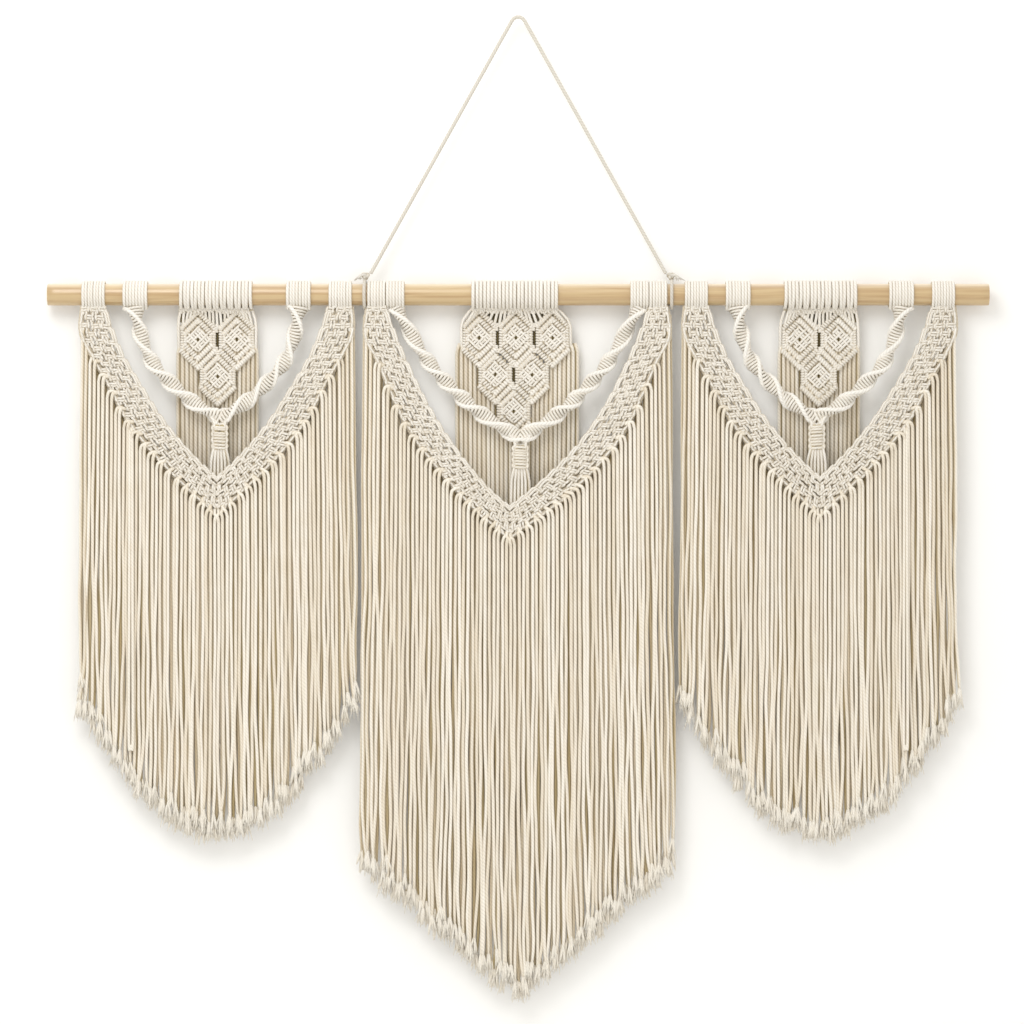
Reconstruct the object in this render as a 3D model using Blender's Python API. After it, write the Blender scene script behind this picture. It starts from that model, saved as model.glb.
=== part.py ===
"""Macrame wall hanging on a wooden dowel.

Three panels of knotted cotton cord hang side by side from one rod. Each panel has a
V-shaped band with a long fringe (the curtain), two spiral sinnets that meet in its middle
(the swag), a wrapped tassel below them, and a group of diamond knots behind (the motif).
The origin is the point where the hanging cord rests on its nail. +Z is up, and the front
of the hanging faces -Y. Panel places are given as x from the panel's middle, y towards
the wall and drop below the dowel's axis.
"""
import math
import random
from collections import namedtuple

import bmesh
import bpy
import numpy as np
from mathutils import Vector

MM = 0.001

# Dowel and cord
DOWEL_LENGTH = 1100 * MM
DOWEL_RADIUS = 12.7 * MM
AXIS_DROP = 322.4 * MM          # dowel's axis below the nail
CORD = 4.2 * MM                 # thickness of the cotton cord
PANEL_SPACING = 351.9 * MM      # between the middles of two panels

# Cord wraps round the dowel (mounted tabs), eight flats round the rod
WRAP_SIDES = 8
WRAP_BORE = 13.04 * MM          # from the axis to an inner flat
WRAP_CREST = 16.7 * MM          # from the axis to an outer flat, on a ridge
WRAP_VALLEY = 15.3 * MM         # and between two ridges

# Depths, front to back
BAND_CREST_Y = -13.9 * MM       # bumps of the band's knots, in columns
BAND_VALLEY_Y = -10.5 * MM
BAND_EDGE_Y = -11.6 * MM
BAND_EDGE_RIDGE = 1.2 * MM      # the edges rise and sink by turns by this much
BAND_COLUMNS = 4
BAND_BACK_Y = -5.2 * MM
BAND_BACK_INNER = 0.4 * MM      # the back face comes this much forward at its inner edge
BAND_BACK_OUTER = 0.8 * MM      # and this much at its outer edge
BAND_TAB_SHIFT = 2.4 * MM       # the band's top end sits this much further back
FRINGE_Y = -8.6 * MM
SWAG_Y = -3.6 * MM
SWAG_FORWARD = -4.5 * MM        # the sinnets come this much forward where they meet
TASSEL_Y = -1.6 * MM            # where the tassel passes behind the band
MOTIF_CREST_Y = 1.4 * MM
MOTIF_VALLEY_Y = 3.8 * MM
MOTIF_BACK_Y = 11.0 * MM
HEADING_FRONT_Y = 2.4 * MM
HEADING_BACK_Y = 9.4 * MM
MOTIF_BAR_Y = 4.6 * MM
BACK_CORD_Y = 10.4 * MM

# Strands
STRAND_WIDTH = 4.1 * MM
STRAND_END_WIDTH = 4.5 * MM     # a little wider where the cord's end is combed out
STRAND_DEPTH = 4.0 * MM
NECK_DROP = 6.0 * MM            # a strand stands apart from here down
FLARE = 1.025                   # the fringe is this much wider at its hem
NECK_FLARE = 1.005              # and this much at its necks
LEAN = 0.5 * MM                 # strands lean left and right by up to this
LEAN_STEP = 1.3                 # radians of lean from one strand to the next
HEM_UNEVEN = (-7.0 * MM, 5.0 * MM)
BACK_UNEVEN = (-8.0 * MM, 8.0 * MM)

# Spiral sinnets: a flat bundle that turns half round once for each lobe
SINNET_HALF_WIDTH = 7.8 * MM
SINNET_HALF_DEPTH = 4.2 * MM
SINNET_STEPS = 4                # sections for each lobe
SINNET_ROOT_DROP = 14.6 * MM
SINNET_ROOT_SHARE = 0.5         # its first section is half as wide
SINNET_ROOT_GAIN = 0.17         # and each of the next ones this much wider

# Gathering knots
GATHER_RADIUS = 9.8 * MM
GATHER_GROOVE = 8.6 * MM
GATHER_FLATTENING = 0.82
GATHER_COILS = 4
GATHER_Y = SWAG_Y + SWAG_FORWARD
TASSEL_STRANDS = 6
TASSEL_PITCH = 4.1 * MM
TASSEL_GAP = 0.6 * MM           # between its strands
TASSEL_NECK = 16.0 * MM         # they reach their depth this far below the knot
SKIRT_HALF_HEIGHT = 2.4 * MM
SKIRT_HALF_DEPTH = 3.0 * MM

# Diamond cells of the motif, six-sided with a point at the top
CELL_SIDES = 6
CELL_HALF_HEIGHT = 30.2 * MM
CELL_ROW_PITCH = 43.0 * MM
CELL_SLIT = 2.5 * MM            # open slit between neighbours in a row
CELL_PROFILE = [                # (y, share of the cell's half size) from rim to hole
    (MOTIF_VALLEY_Y, 1.0),
    (MOTIF_CREST_Y, 0.86),
    (MOTIF_VALLEY_Y, 0.66),
    (MOTIF_CREST_Y, 0.42),
    (MOTIF_VALLEY_Y, 0.085),
    (MOTIF_BACK_Y, 0.085),
    (MOTIF_BACK_Y, 1.0),
]
HEM_BAR = 4.0 * MM              # half height of the bar below the cells
HEADING_TOP = 13.7 * MM         # first row of knots, from inside the wraps
HEADING_ABOVE = 7.0 * MM        # to this far above the middle of the first cells
HEADING_INSET = 2.0 * MM        # in from each side of the tab
TAB_EASE = 6                    # the shift under the tab has gone after 1/6 of an arm
TAB_STATIONS = 3                # sections of the band between its tab and its first strand

SEED = 11
ROUND_ANGLE = math.radians(50)  # turned pieces shade smooth over edges up to this
KNOTTED_ANGLE = math.radians(8)

EdgeRow = namedtuple("EdgeRow", "outer_x outer_drop inner_x inner_drop")
PathRow = namedtuple("PathRow", "x drop")
Tab = namedtuple("Tab", "x width ridges")
Kind = namedtuple(
    "Kind",
    "band_tab swag_tab motif_tab edges strands strand_pitch hem_tip hem_edge hem_power "
    "sinnet lobes meeting_x gather_top gather_bottom tassel_end "
    "cell_pitch cell_rows first_cell_drop back_strands back_pitch back_end",
)
Panel = namedtuple("Panel", "name kind middle hand")

SIDE = Kind(
    band_tab=Tab(144.1 * MM, 26.8 * MM, 4),
    swag_tab=Tab(95.4 * MM, 28.6 * MM, 4),
    motif_tab=Tab(-1.2 * MM, 85.0 * MM, 8),
    edges=[
        EdgeRow(158.0 * MM, 13.6 * MM, 130.4 * MM, 13.6 * MM),
        EdgeRow(159.6 * MM, 45.0 * MM, 119.0 * MM, 47.0 * MM),
        EdgeRow(146.0 * MM, 74.0 * MM, 106.0 * MM, 76.0 * MM),
        EdgeRow(128.0 * MM, 105.0 * MM, 88.0 * MM, 106.0 * MM),
        EdgeRow(108.0 * MM, 143.0 * MM, 66.5 * MM, 140.0 * MM),
        EdgeRow(80.0 * MM, 181.0 * MM, 44.0 * MM, 169.0 * MM),
        EdgeRow(42.0 * MM, 221.0 * MM, 22.0 * MM, 193.0 * MM),
        EdgeRow(0.0 * MM, 260.0 * MM, 0.0 * MM, 213.6 * MM),
    ],
    strands=56,
    strand_pitch=5.68 * MM,
    hem_tip=638.0 * MM,
    hem_edge=469.0 * MM,
    hem_power=1.6,
    sinnet=[
        PathRow(95.7 * MM, SINNET_ROOT_DROP),
        PathRow(90.0 * MM, 46.7 * MM),
        PathRow(77.0 * MM, 79.4 * MM),
        PathRow(54.8 * MM, 105.0 * MM),
        PathRow(29.2 * MM, 127.2 * MM),
        PathRow(0.0 * MM, 144.5 * MM),
    ],
    lobes=6.5,
    meeting_x=3.5 * MM,
    gather_top=152.6 * MM,
    gather_bottom=181.0 * MM,
    tassel_end=532.0 * MM,
    cell_pitch=45.5 * MM,
    cell_rows=(2, 1),
    first_cell_drop=53.0 * MM,
    back_strands=16,
    back_pitch=5.54 * MM,
    back_end=524.0 * MM,
)

CENTRE = Kind(
    band_tab=Tab(164.5 * MM, 21.0 * MM, 3),
    swag_tab=Tab(142.6 * MM, 21.5 * MM, 3),
    motif_tab=Tab(-2.9 * MM, 101.5 * MM, 9),
    edges=[
        EdgeRow(175.6 * MM, 13.6 * MM, 154.0 * MM, 13.6 * MM),
        EdgeRow(178.8 * MM, 49.0 * MM, 140.5 * MM, 50.0 * MM),
        EdgeRow(164.5 * MM, 77.0 * MM, 124.0 * MM, 88.0 * MM),
        EdgeRow(148.8 * MM, 114.4 * MM, 106.0 * MM, 124.0 * MM),
        EdgeRow(127.2 * MM, 158.7 * MM, 83.0 * MM, 161.0 * MM),
        EdgeRow(97.0 * MM, 199.0 * MM, 56.0 * MM, 195.0 * MM),
        EdgeRow(54.0 * MM, 244.0 * MM, 27.0 * MM, 225.0 * MM),
        EdgeRow(0.0 * MM, 287.0 * MM, 0.0 * MM, 247.4 * MM),
    ],
    strands=62,
    strand_pitch=5.76 * MM,
    hem_tip=823.0 * MM,
    hem_edge=669.5 * MM,
    hem_power=1.1,
    sinnet=[
        PathRow(141.5 * MM, SINNET_ROOT_DROP),
        PathRow(121.0 * MM, 53.7 * MM),
        PathRow(100.4 * MM, 85.2 * MM),
        PathRow(73.5 * MM, 114.4 * MM),
        PathRow(43.2 * MM, 141.0 * MM),
        PathRow(0.0 * MM, 168.5 * MM),
    ],
    lobes=7.5,
    meeting_x=3.5 * MM,
    gather_top=176.6 * MM,
    gather_bottom=203.5 * MM,
    tassel_end=684.0 * MM,
    cell_pitch=43.0 * MM,
    cell_rows=(3, 2, 1),
    first_cell_drop=50.2 * MM,
    back_strands=22,
    back_pitch=6.2 * MM,
    back_end=676.0 * MM,
)

PANELS = (
    Panel("left", SIDE, -PANEL_SPACING, 1),
    Panel("centre", CENTRE, -1.1 * MM, 1),
    Panel("right", SIDE, PANEL_SPACING, -1),
)

# Hanging cord: the left half of its route as (x, z) from the nail, knot first
CORD_RADIUS = CORD / 2
CORD_STEP = 2.95 * CORD
CORD_ROUTE = [
    (-172.3, -297.5),
    (-149.7, -257.0),
    (-117.8, -200.0),
    (-89.9, -150.0),
    (-62.0, -100.0),
    (-39.6, -60.0),
    (-22.9, -30.0),
    (-13.9, -14.0),
    (-10.0, -7.0),
    (-7.3, -2.2),
    (-4.2, 0.95),
    (0.0, 2.1),
]
TURN_X = 179.4 * MM             # the cord's turn round the dowel
TURN_RADIUS = 16.2 * MM
TURN_SIDES = 6
KNOT_X = 178.6 * MM
KNOT_Z = -300.6 * MM
KNOT_HALF_SIZE = (5.8 * MM, 5.4 * MM, 4.6 * MM)


def material(name, colour, roughness):
    """Principled material of one colour, from linear red, green and blue."""
    made = bpy.data.materials.new(name)
    made.use_nodes = True
    shader = made.node_tree.nodes["Principled BSDF"]
    shader.inputs["Base Color"].default_value = (*colour, 1.0)
    shader.inputs["Roughness"].default_value = roughness
    shader.inputs["Metallic"].default_value = 0.0
    return made


def collection(name):
    made = bpy.data.collections.new(name)
    bpy.context.scene.collection.children.link(made)
    return made


def mesh_object(name, bm, group, finish, sharp=KNOTTED_ANGLE):
    """Closes the mesh's faces outwards and puts it in the scene."""
    bmesh.ops.recalc_face_normals(bm, faces=bm.faces)
    mesh = bpy.data.meshes.new(name)
    bm.to_mesh(mesh)
    bm.free()
    mesh.materials.append(finish)
    mesh.shade_smooth()
    mesh.set_sharp_from_angle(angle=sharp)
    made = bpy.data.objects.new(name, mesh)
    group.objects.link(made)
    return made


def fuse(base, others):
    """Joins the other shapes to the base with one union after another."""
    for other in others:
        other.hide_render = True
        other.display_type = "WIRE"
        union = base.modifiers.new(f"with_{other.name}", "BOOLEAN")
        union.operation = "UNION"
        union.solver = "EXACT"
        union.object = other


def smooth(rows, t):
    """Values at t, from 0 to 1, on the smooth curve through evenly spaced rows."""
    points = np.array(rows, float)
    s = min(max(t, 0.0), 1.0) * (len(points) - 1)
    i = min(int(s), len(points) - 2)
    f = s - i
    a, b = points[max(i - 1, 0)], points[i]
    c, d = points[i + 1], points[min(i + 2, len(points) - 1)]
    square = (2 * a - 5 * b + 4 * c - d) * f * f
    cube = (3 * b - a - 3 * c + d) * f**3
    return 0.5 * (2 * b + (c - a) * f + square + cube)


def place(panel, x, y, drop):
    """World point of a place in a panel."""
    return Vector((panel.middle + panel.hand * x, y, -AXIS_DROP - drop))


def loft(bm, rings):
    """Skin over rings of equal length with a cap on each end; gives the faces by ring."""
    loops = [[bm.verts.new(point) for point in ring] for ring in rings]
    count = len(rings[0])
    bands = []
    for low, high in zip(loops, loops[1:]):
        band = []
        for k in range(count):
            n = (k + 1) % count
            band.append(bm.faces.new((low[k], low[n], high[n], high[k])))
        bands.append(band)
    bm.faces.new(loops[0][::-1])
    bm.faces.new(loops[-1])
    return bands


def turned(name, profile, axis, steps, turn, group, finish):
    """Closed profile of (along, radius) points turned round the X, Y or Z axis.

    An open end of the profile on the axis isn't allowed: the profile is a loop."""
    along = {"X": Vector((1, 0, 0)), "Y": Vector((0, 1, 0)), "Z": Vector((0, 0, 1))}[axis]
    out = Vector((0, 0, 1)) if axis != "Z" else Vector((1, 0, 0))
    bm = bmesh.new()
    verts = [bm.verts.new(along * a + out * r) for a, r in profile]
    edges = [bm.edges.new((verts[k - 1], verts[k])) for k in range(len(verts))]
    bmesh.ops.spin(
        bm, geom=verts + edges, cent=(0, 0, 0), axis=along, angle=math.tau,
        steps=steps, use_merge=True,
    )
    made = mesh_object(name, bm, group, finish, ROUND_ANGLE)
    made.rotation_euler["XYZ".index(axis)] = turn
    return made


def ridged(length, crest, valley, ridges):
    """Outer line of a ridged sleeve as (along, radius), from one end to the other."""
    line = []
    for k in range(2 * ridges + 1):
        along = (k / (2 * ridges) - 0.5) * length
        line.append((along, crest if k % 2 else valley))
    return line


def wraps(name, tab, x, group, finish):
    """Sleeve of cord wound side by side round the dowel, one ridge for every few turns."""
    corner = 1 / math.cos(math.pi / WRAP_SIDES)
    outer = ridged(tab.width, WRAP_CREST * corner, WRAP_VALLEY * corner, tab.ridges)
    bore = WRAP_BORE * corner
    profile = outer + [(tab.width / 2, bore), (-tab.width / 2, bore)]
    made = turned(name, profile, "X", WRAP_SIDES, math.pi / WRAP_SIDES, group, finish)
    made.location = (x, 0, -AXIS_DROP)
    return made


def draw_out(bm, root, panel, levels):
    """Draws a root face out into one strand; a level is (x, y, drop, width)."""
    face = root
    for x, y, drop, width in levels:
        face = bmesh.ops.extrude_discrete_faces(bm, faces=[face])["faces"][0]
        middle = face.calc_center_median()
        centre = place(panel, x, y, drop)
        for vert in face.verts:
            dx = math.copysign(width / 2, vert.co.x - middle.x)
            dy = math.copysign(STRAND_DEPTH / 2, vert.co.y - middle.y)
            vert.co = centre + Vector((dx, dy, 0))


def band_stations(kind):
    """Places t along one arm of the V: a few under its tab, then one between strands."""
    fine = np.linspace(0, 1, 600)
    outer_x = np.array([smooth(kind.edges, t)[0] for t in fine])
    widest = int(outer_x.argmax())
    per_arm = kind.strands // 2
    borders = np.arange(per_arm, -1, -1) * kind.strand_pitch
    borders[0] = min(borders[0], outer_x[widest])
    hung = np.interp(-borders, -outer_x[widest:], fine[widest:])
    return [hung[0] * k / TAB_STATIONS for k in range(TAB_STATIONS)] + list(hung)


def band_ring(panel, side, t, ridge):
    """Section of the V band: raised and sunk by turns across its front."""
    row = EdgeRow(*smooth(panel.kind.edges, t))
    back = BAND_TAB_SHIFT * max(0.0, 1 - TAB_EASE * t)
    spots = []
    for k in range(BAND_COLUMNS + 1):
        share = k / BAND_COLUMNS
        raised = (k + ridge) % 2 == 1
        if k in (0, BAND_COLUMNS):
            front = BAND_EDGE_Y - (BAND_EDGE_RIDGE if raised else -BAND_EDGE_RIDGE)
        else:
            front = BAND_CREST_Y if raised else BAND_VALLEY_Y
        x = row.outer_x + (row.inner_x - row.outer_x) * share
        drop = row.outer_drop + (row.inner_drop - row.outer_drop) * share
        spots.append((x, front, drop))
    spots.append((row.inner_x, BAND_BACK_Y - BAND_BACK_INNER, row.inner_drop))
    spots.append((row.outer_x, BAND_BACK_Y - BAND_BACK_OUTER, row.outer_drop))
    return [place(panel, side * x, y + back, drop) for x, y, drop in spots]


def split_bumps(bands):
    """Cuts the band's front faces along their sunk corners, so each raised one is a peak."""
    for k, band in enumerate(bands):
        for j in range(BAND_COLUMNS):
            low, low_next, high_next, high = band[j].verts
            raised = (j + k) % 2 == 1
            ends = (low_next, high) if raised else (low, high_next)
            bmesh.utils.face_split(band[j], *ends)


def hem_drop(kind, x):
    """Drop of the fringe's cut edge at x."""
    half = kind.strands / 2 * kind.strand_pitch
    share = min(1.0, abs(x) / half) ** kind.hem_power
    return kind.hem_tip - (kind.hem_tip - kind.hem_edge) * share


def curtain(panel, group, guides, finish, rng):
    """V band, its fringe and its two mounted tabs."""
    kind = panel.kind
    arm = band_stations(kind)
    walk = [(-1, t) for t in arm] + [(1, t) for t in arm[-2::-1]]
    rings = [band_ring(panel, side, t, k % 2) for k, (side, t) in enumerate(walk)]
    bm = bmesh.new()
    bands = loft(bm, rings)
    under = len(rings[0]) - 1
    for k in range(kind.strands):
        root = bands[TAB_STATIONS + k][under]
        x = (k + 0.5 - kind.strands / 2) * kind.strand_pitch
        neck = max(-AXIS_DROP - vert.co.z for vert in root.verts) + NECK_DROP
        end = hem_drop(kind, x) + rng.uniform(*HEM_UNEVEN)
        lean = LEAN * math.sin(LEAN_STEP * k)
        levels = (
            (x * NECK_FLARE, FRINGE_Y, neck, STRAND_WIDTH),
            (x * FLARE + lean, FRINGE_Y, end, STRAND_END_WIDTH),
        )
        draw_out(bm, root, panel, levels)
    split_bumps(bands)
    band = mesh_object(f"curtain_{panel.name}", bm, group, finish)
    sleeves = []
    for side in (-1, 1):
        x = panel.middle + panel.hand * side * kind.band_tab.x
        name = f"band_wraps_{panel.name}_{side + 1}"
        sleeves.append(wraps(name, kind.band_tab, x, guides, finish))
    fuse(band, sleeves)
    return band


def sinnet_rings(panel, side):
    """Sections of one spiral sinnet, from its tab to where the two meet."""
    kind = panel.kind
    count = int(kind.lobes * SINNET_STEPS)
    rings = []
    for k in range(count + 1):
        t = k / count
        here = PathRow(*smooth(kind.sinnet, t))
        ahead = smooth(kind.sinnet, min(1, t + 0.01)) - smooth(kind.sinnet, max(0, t - 0.01))
        along = Vector((ahead[0], 0, ahead[1])).normalized()
        across = Vector((along.z, 0, -along.x))
        turn = side * math.pi * k / SINNET_STEPS
        centre = Vector((here.x, SWAG_Y + SWAG_FORWARD * t, here.drop))
        slim = min(1.0, SINNET_ROOT_SHARE + SINNET_ROOT_GAIN * k)
        ring = []
        for a, b in ((1, 1), (-1, 1), (-1, -1), (1, -1)):
            wide = a * SINNET_HALF_WIDTH * slim
            deep = b * SINNET_HALF_DEPTH * slim
            u = wide * math.cos(turn) - deep * math.sin(turn)
            v = wide * math.sin(turn) + deep * math.cos(turn)
            spot = centre + across * u + Vector((0, v, 0))
            x = side * spot.x + kind.meeting_x * t
            ring.append(place(panel, x, spot.y, max(spot.z, SINNET_ROOT_DROP)))
        rings.append(ring)
    return rings


def swag(panel, group, guides, finish):
    """Two spiral sinnets that meet, with their mounted tabs."""
    arms = []
    for side, home in ((-1, group), (1, guides)):
        bm = bmesh.new()
        loft(bm, sinnet_rings(panel, side))
        name = f"swag_{panel.name}" if side < 0 else f"sinnet_{panel.name}"
        arms.append(mesh_object(name, bm, home, finish))
    parts = [arms[1]]
    for side in (-1, 1):
        x = panel.middle + panel.hand * side * panel.kind.swag_tab.x
        name = f"swag_wraps_{panel.name}_{side + 1}"
        parts.append(wraps(name, panel.kind.swag_tab, x, guides, finish))
    fuse(arms[0], parts)
    return arms[0]


def strand_bar(panel, name, borders, drops, front, back, half_height, levels_of, group, finish):
    """Narrow bar along x that a row of strands hangs from."""
    bm = bmesh.new()
    rings = []
    for x, drop in zip(borders, drops):
        spots = (
            (front, drop + half_height),
            (front, drop - half_height),
            (back, drop - half_height),
            (back, drop + half_height),
        )
        rings.append([place(panel, x, y, d) for y, d in spots])
    for k, band in enumerate(loft(bm, rings)):
        root = band[3]
        neck = max(-AXIS_DROP - vert.co.z for vert in root.verts) + NECK_DROP
        draw_out(bm, root, panel, levels_of(k, neck))
    return mesh_object(name, bm, group, finish)


def tassel(panel, group, guides, finish, rng):
    """Wrapped gathering knot and the cords that hang out of it, behind the V band."""
    kind = panel.kind
    length = kind.gather_bottom - kind.gather_top
    outer = ridged(length, GATHER_RADIUS, GATHER_GROOVE, GATHER_COILS)
    bm = bmesh.new()
    rings = []
    for along, radius in outer:
        ring = []
        for k in range(8):
            angle = math.tau * (k + 0.5) / 8
            x = kind.meeting_x + radius * math.cos(angle)
            y = GATHER_Y + GATHER_FLATTENING * radius * math.sin(angle)
            ring.append(place(panel, x, y, kind.gather_top + length / 2 + along))
        rings.append(ring)
    loft(bm, rings)
    knot = mesh_object(f"tassel_{panel.name}", bm, group, finish)

    middle = kind.meeting_x
    borders = [middle + (k - TASSEL_STRANDS / 2) * TASSEL_PITCH for k in range(TASSEL_STRANDS + 1)]
    drops = [kind.gather_bottom] * len(borders)

    def levels_of(k, neck):
        x = middle + (k + 0.5 - TASSEL_STRANDS / 2) * TASSEL_PITCH
        width = TASSEL_PITCH - TASSEL_GAP
        end = kind.tassel_end + rng.uniform(*BACK_UNEVEN)
        return ((x, TASSEL_Y, neck - NECK_DROP + TASSEL_NECK, width), (x, TASSEL_Y, end, width))

    skirt = strand_bar(
        panel, f"skirt_{panel.name}", borders, drops, GATHER_Y - SKIRT_HALF_DEPTH,
        GATHER_Y + SKIRT_HALF_DEPTH, SKIRT_HALF_HEIGHT, levels_of, guides, finish,
    )
    fuse(knot, [skirt])
    return knot


def cell_places(kind):
    """Middles (x, drop) of the diamond cells, row by row."""
    return [
        ((k - (count - 1) / 2) * kind.cell_pitch, kind.first_cell_drop + row * CELL_ROW_PITCH)
        for row, count in enumerate(kind.cell_rows)
        for k in range(count)
    ]


def cell_half_width(kind):
    return (kind.cell_pitch - CELL_SLIT) / 2


def motif_hem(kind, x):
    """Drop of the lowest cell edge at x."""
    half = cell_half_width(kind)
    reach = []
    for cell_x, drop in cell_places(kind):
        away = abs(x - cell_x) / half
        if away <= 1:
            reach.append(drop + CELL_HALF_HEIGHT * (1 - away / 2))
    return max(reach, default=kind.first_cell_drop + CELL_HALF_HEIGHT / 2)


def cell(panel, name, x, drop, group, finish):
    """Six-sided diamond: a raised rim, a groove, a raised inner ring and a small hole."""
    made = turned(name, CELL_PROFILE, "Y", CELL_SIDES, 0.0, group, finish)
    width = cell_half_width(panel.kind) / math.cos(math.pi / CELL_SIDES)
    made.scale = (width, 1.0, CELL_HALF_HEIGHT)
    made.location = place(panel, x, 0, drop)
    return made


def heading(panel, group, finish):
    """First row of knots, a plain bar that joins the wraps to the cells."""
    kind = panel.kind
    top, bottom = HEADING_TOP, kind.first_cell_drop - HEADING_ABOVE
    bm = bmesh.new()
    bmesh.ops.create_cube(bm, size=1.0)
    made = mesh_object(f"heading_{panel.name}", bm, group, finish)
    width = kind.motif_tab.width - 2 * HEADING_INSET
    made.scale = (width, HEADING_BACK_Y - HEADING_FRONT_Y, bottom - top)
    middle_y = (HEADING_FRONT_Y + HEADING_BACK_Y) / 2
    made.location = place(panel, kind.motif_tab.x, middle_y, (top + bottom) / 2)
    return made


def motif(panel, group, guides, finish, rng):
    """Diamond cells with their mounted tab and the cords that hang from them."""
    kind = panel.kind
    half = kind.back_strands / 2
    borders = [(k - half) * kind.back_pitch for k in range(kind.back_strands + 1)]
    drops = [motif_hem(kind, x) for x in borders]

    def levels_of(k, neck):
        x = (k + 0.5 - half) * kind.back_pitch
        end = kind.back_end + rng.uniform(*BACK_UNEVEN)
        return ((x, BACK_CORD_Y, neck, STRAND_WIDTH), (x, BACK_CORD_Y, end, STRAND_WIDTH))

    base = strand_bar(
        panel, f"motif_{panel.name}", borders, drops, MOTIF_BAR_Y,
        BACK_CORD_Y + STRAND_DEPTH / 2, HEM_BAR, levels_of, group, finish,
    )
    parts = [heading(panel, guides, finish)]
    for k, (x, drop) in enumerate(cell_places(kind)):
        parts.append(cell(panel, f"cell_{panel.name}_{k}", x, drop, guides, finish))
    tab_x = panel.middle + panel.hand * kind.motif_tab.x
    parts.append(wraps(f"motif_wraps_{panel.name}", kind.motif_tab, tab_x, guides, finish))
    fuse(base, parts)
    return base


def dowel(group, finish):
    bpy.ops.mesh.primitive_cylinder_add(
        vertices=32, radius=DOWEL_RADIUS, depth=DOWEL_LENGTH,
        location=(0, 0, -AXIS_DROP), rotation=(0, math.pi / 2, 0),
    )
    made = bpy.context.object
    made.name = "dowel"
    made.data.materials.append(finish)
    made.data.shade_smooth()
    made.data.set_sharp_from_angle(angle=ROUND_ANGLE)
    for holder in list(made.users_collection):
        holder.objects.unlink(made)
    group.objects.link(made)
    return made


def cord_points():
    """Points about three diameters apart on the smooth curve through the cord's route."""
    half = [(x * MM, z * MM) for x, z in CORD_ROUTE]
    route = half + [(-x, z) for x, z in half[-2::-1]]
    fine = np.array([smooth(route, t) for t in np.linspace(0, 1, 2001)])
    along = np.concatenate([[0], np.cumsum(np.linalg.norm(np.diff(fine, axis=0), axis=1))])
    stops = np.linspace(0, along[-1], math.ceil(along[-1] / CORD_STEP) + 1)
    return [(np.interp(s, along, fine[:, 0]), 0, np.interp(s, along, fine[:, 1])) for s in stops]


def hanging_cord(group, finish):
    points = cord_points()
    curve = bpy.data.curves.new("hanging_cord", "CURVE")
    curve.dimensions = "3D"
    curve.bevel_depth = CORD_RADIUS
    curve.bevel_resolution = 2
    curve.use_fill_caps = True
    line = curve.splines.new("POLY")
    line.points.add(len(points) - 1)
    for spot, point in zip(line.points, points):
        spot.co = (*point, 1.0)
    curve.materials.append(finish)
    made = bpy.data.objects.new("hanging_cord", curve)
    group.objects.link(made)
    return made


def hanging_knot(side, word, group, guides, finish):
    """The cord's turn round the dowel, with the knot that ties it on top."""
    bm = bmesh.new()
    bmesh.ops.create_uvsphere(bm, u_segments=8, v_segments=6, radius=1.0)
    bmesh.ops.scale(bm, vec=KNOT_HALF_SIZE, verts=bm.verts)
    knot = mesh_object(f"hanging_knot_{word}", bm, group, finish)
    knot.location = (side * KNOT_X, 0, KNOT_Z)
    section = []
    for k in range(TURN_SIDES):
        angle = math.tau * k / TURN_SIDES
        out = TURN_RADIUS + CORD_RADIUS * math.sin(angle)
        section.append((CORD_RADIUS * math.cos(angle), out))
    turn = turned(f"cord_turn_{word}", section, "X", 12, 0.0, guides, finish)
    turn.location = (side * TURN_X, 0, -AXIS_DROP)
    fuse(knot, [turn])
    return knot


def build():
    for old in list(bpy.data.objects):
        bpy.data.objects.remove(old, do_unlink=True)
    group = collection("macrame_wall_hanging")
    guides = collection("joined_shapes")
    cotton = material("cotton_cord", (0.86, 0.80, 0.69), 0.9)
    pine = material("pine_dowel", (0.80, 0.60, 0.36), 0.55)
    rng = random.Random(SEED)
    dowel(group, pine)
    hanging_cord(group, cotton)
    hanging_knot(-1, "left", group, guides, cotton)
    hanging_knot(1, "right", group, guides, cotton)
    for panel in PANELS:
        curtain(panel, group, guides, cotton, rng)
        swag(panel, group, guides, cotton)
        tassel(panel, group, guides, cotton, rng)
        motif(panel, group, guides, cotton, rng)


build()
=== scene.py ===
"""Looks of a macrame wall hanging on a pine dowel: three knotted cotton panels with
V-shaped bands, spiral sinnets, wrapped tassels, diamond motifs and long combed fringe.

Shapes are worked out in millimetres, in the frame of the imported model: x along the dowel,
-y to the front, z up from the nail. Inside a panel a place is x from the panel's middle,
y towards the wall and drop below the dowel's axis."""
import math
from collections import namedtuple

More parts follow.
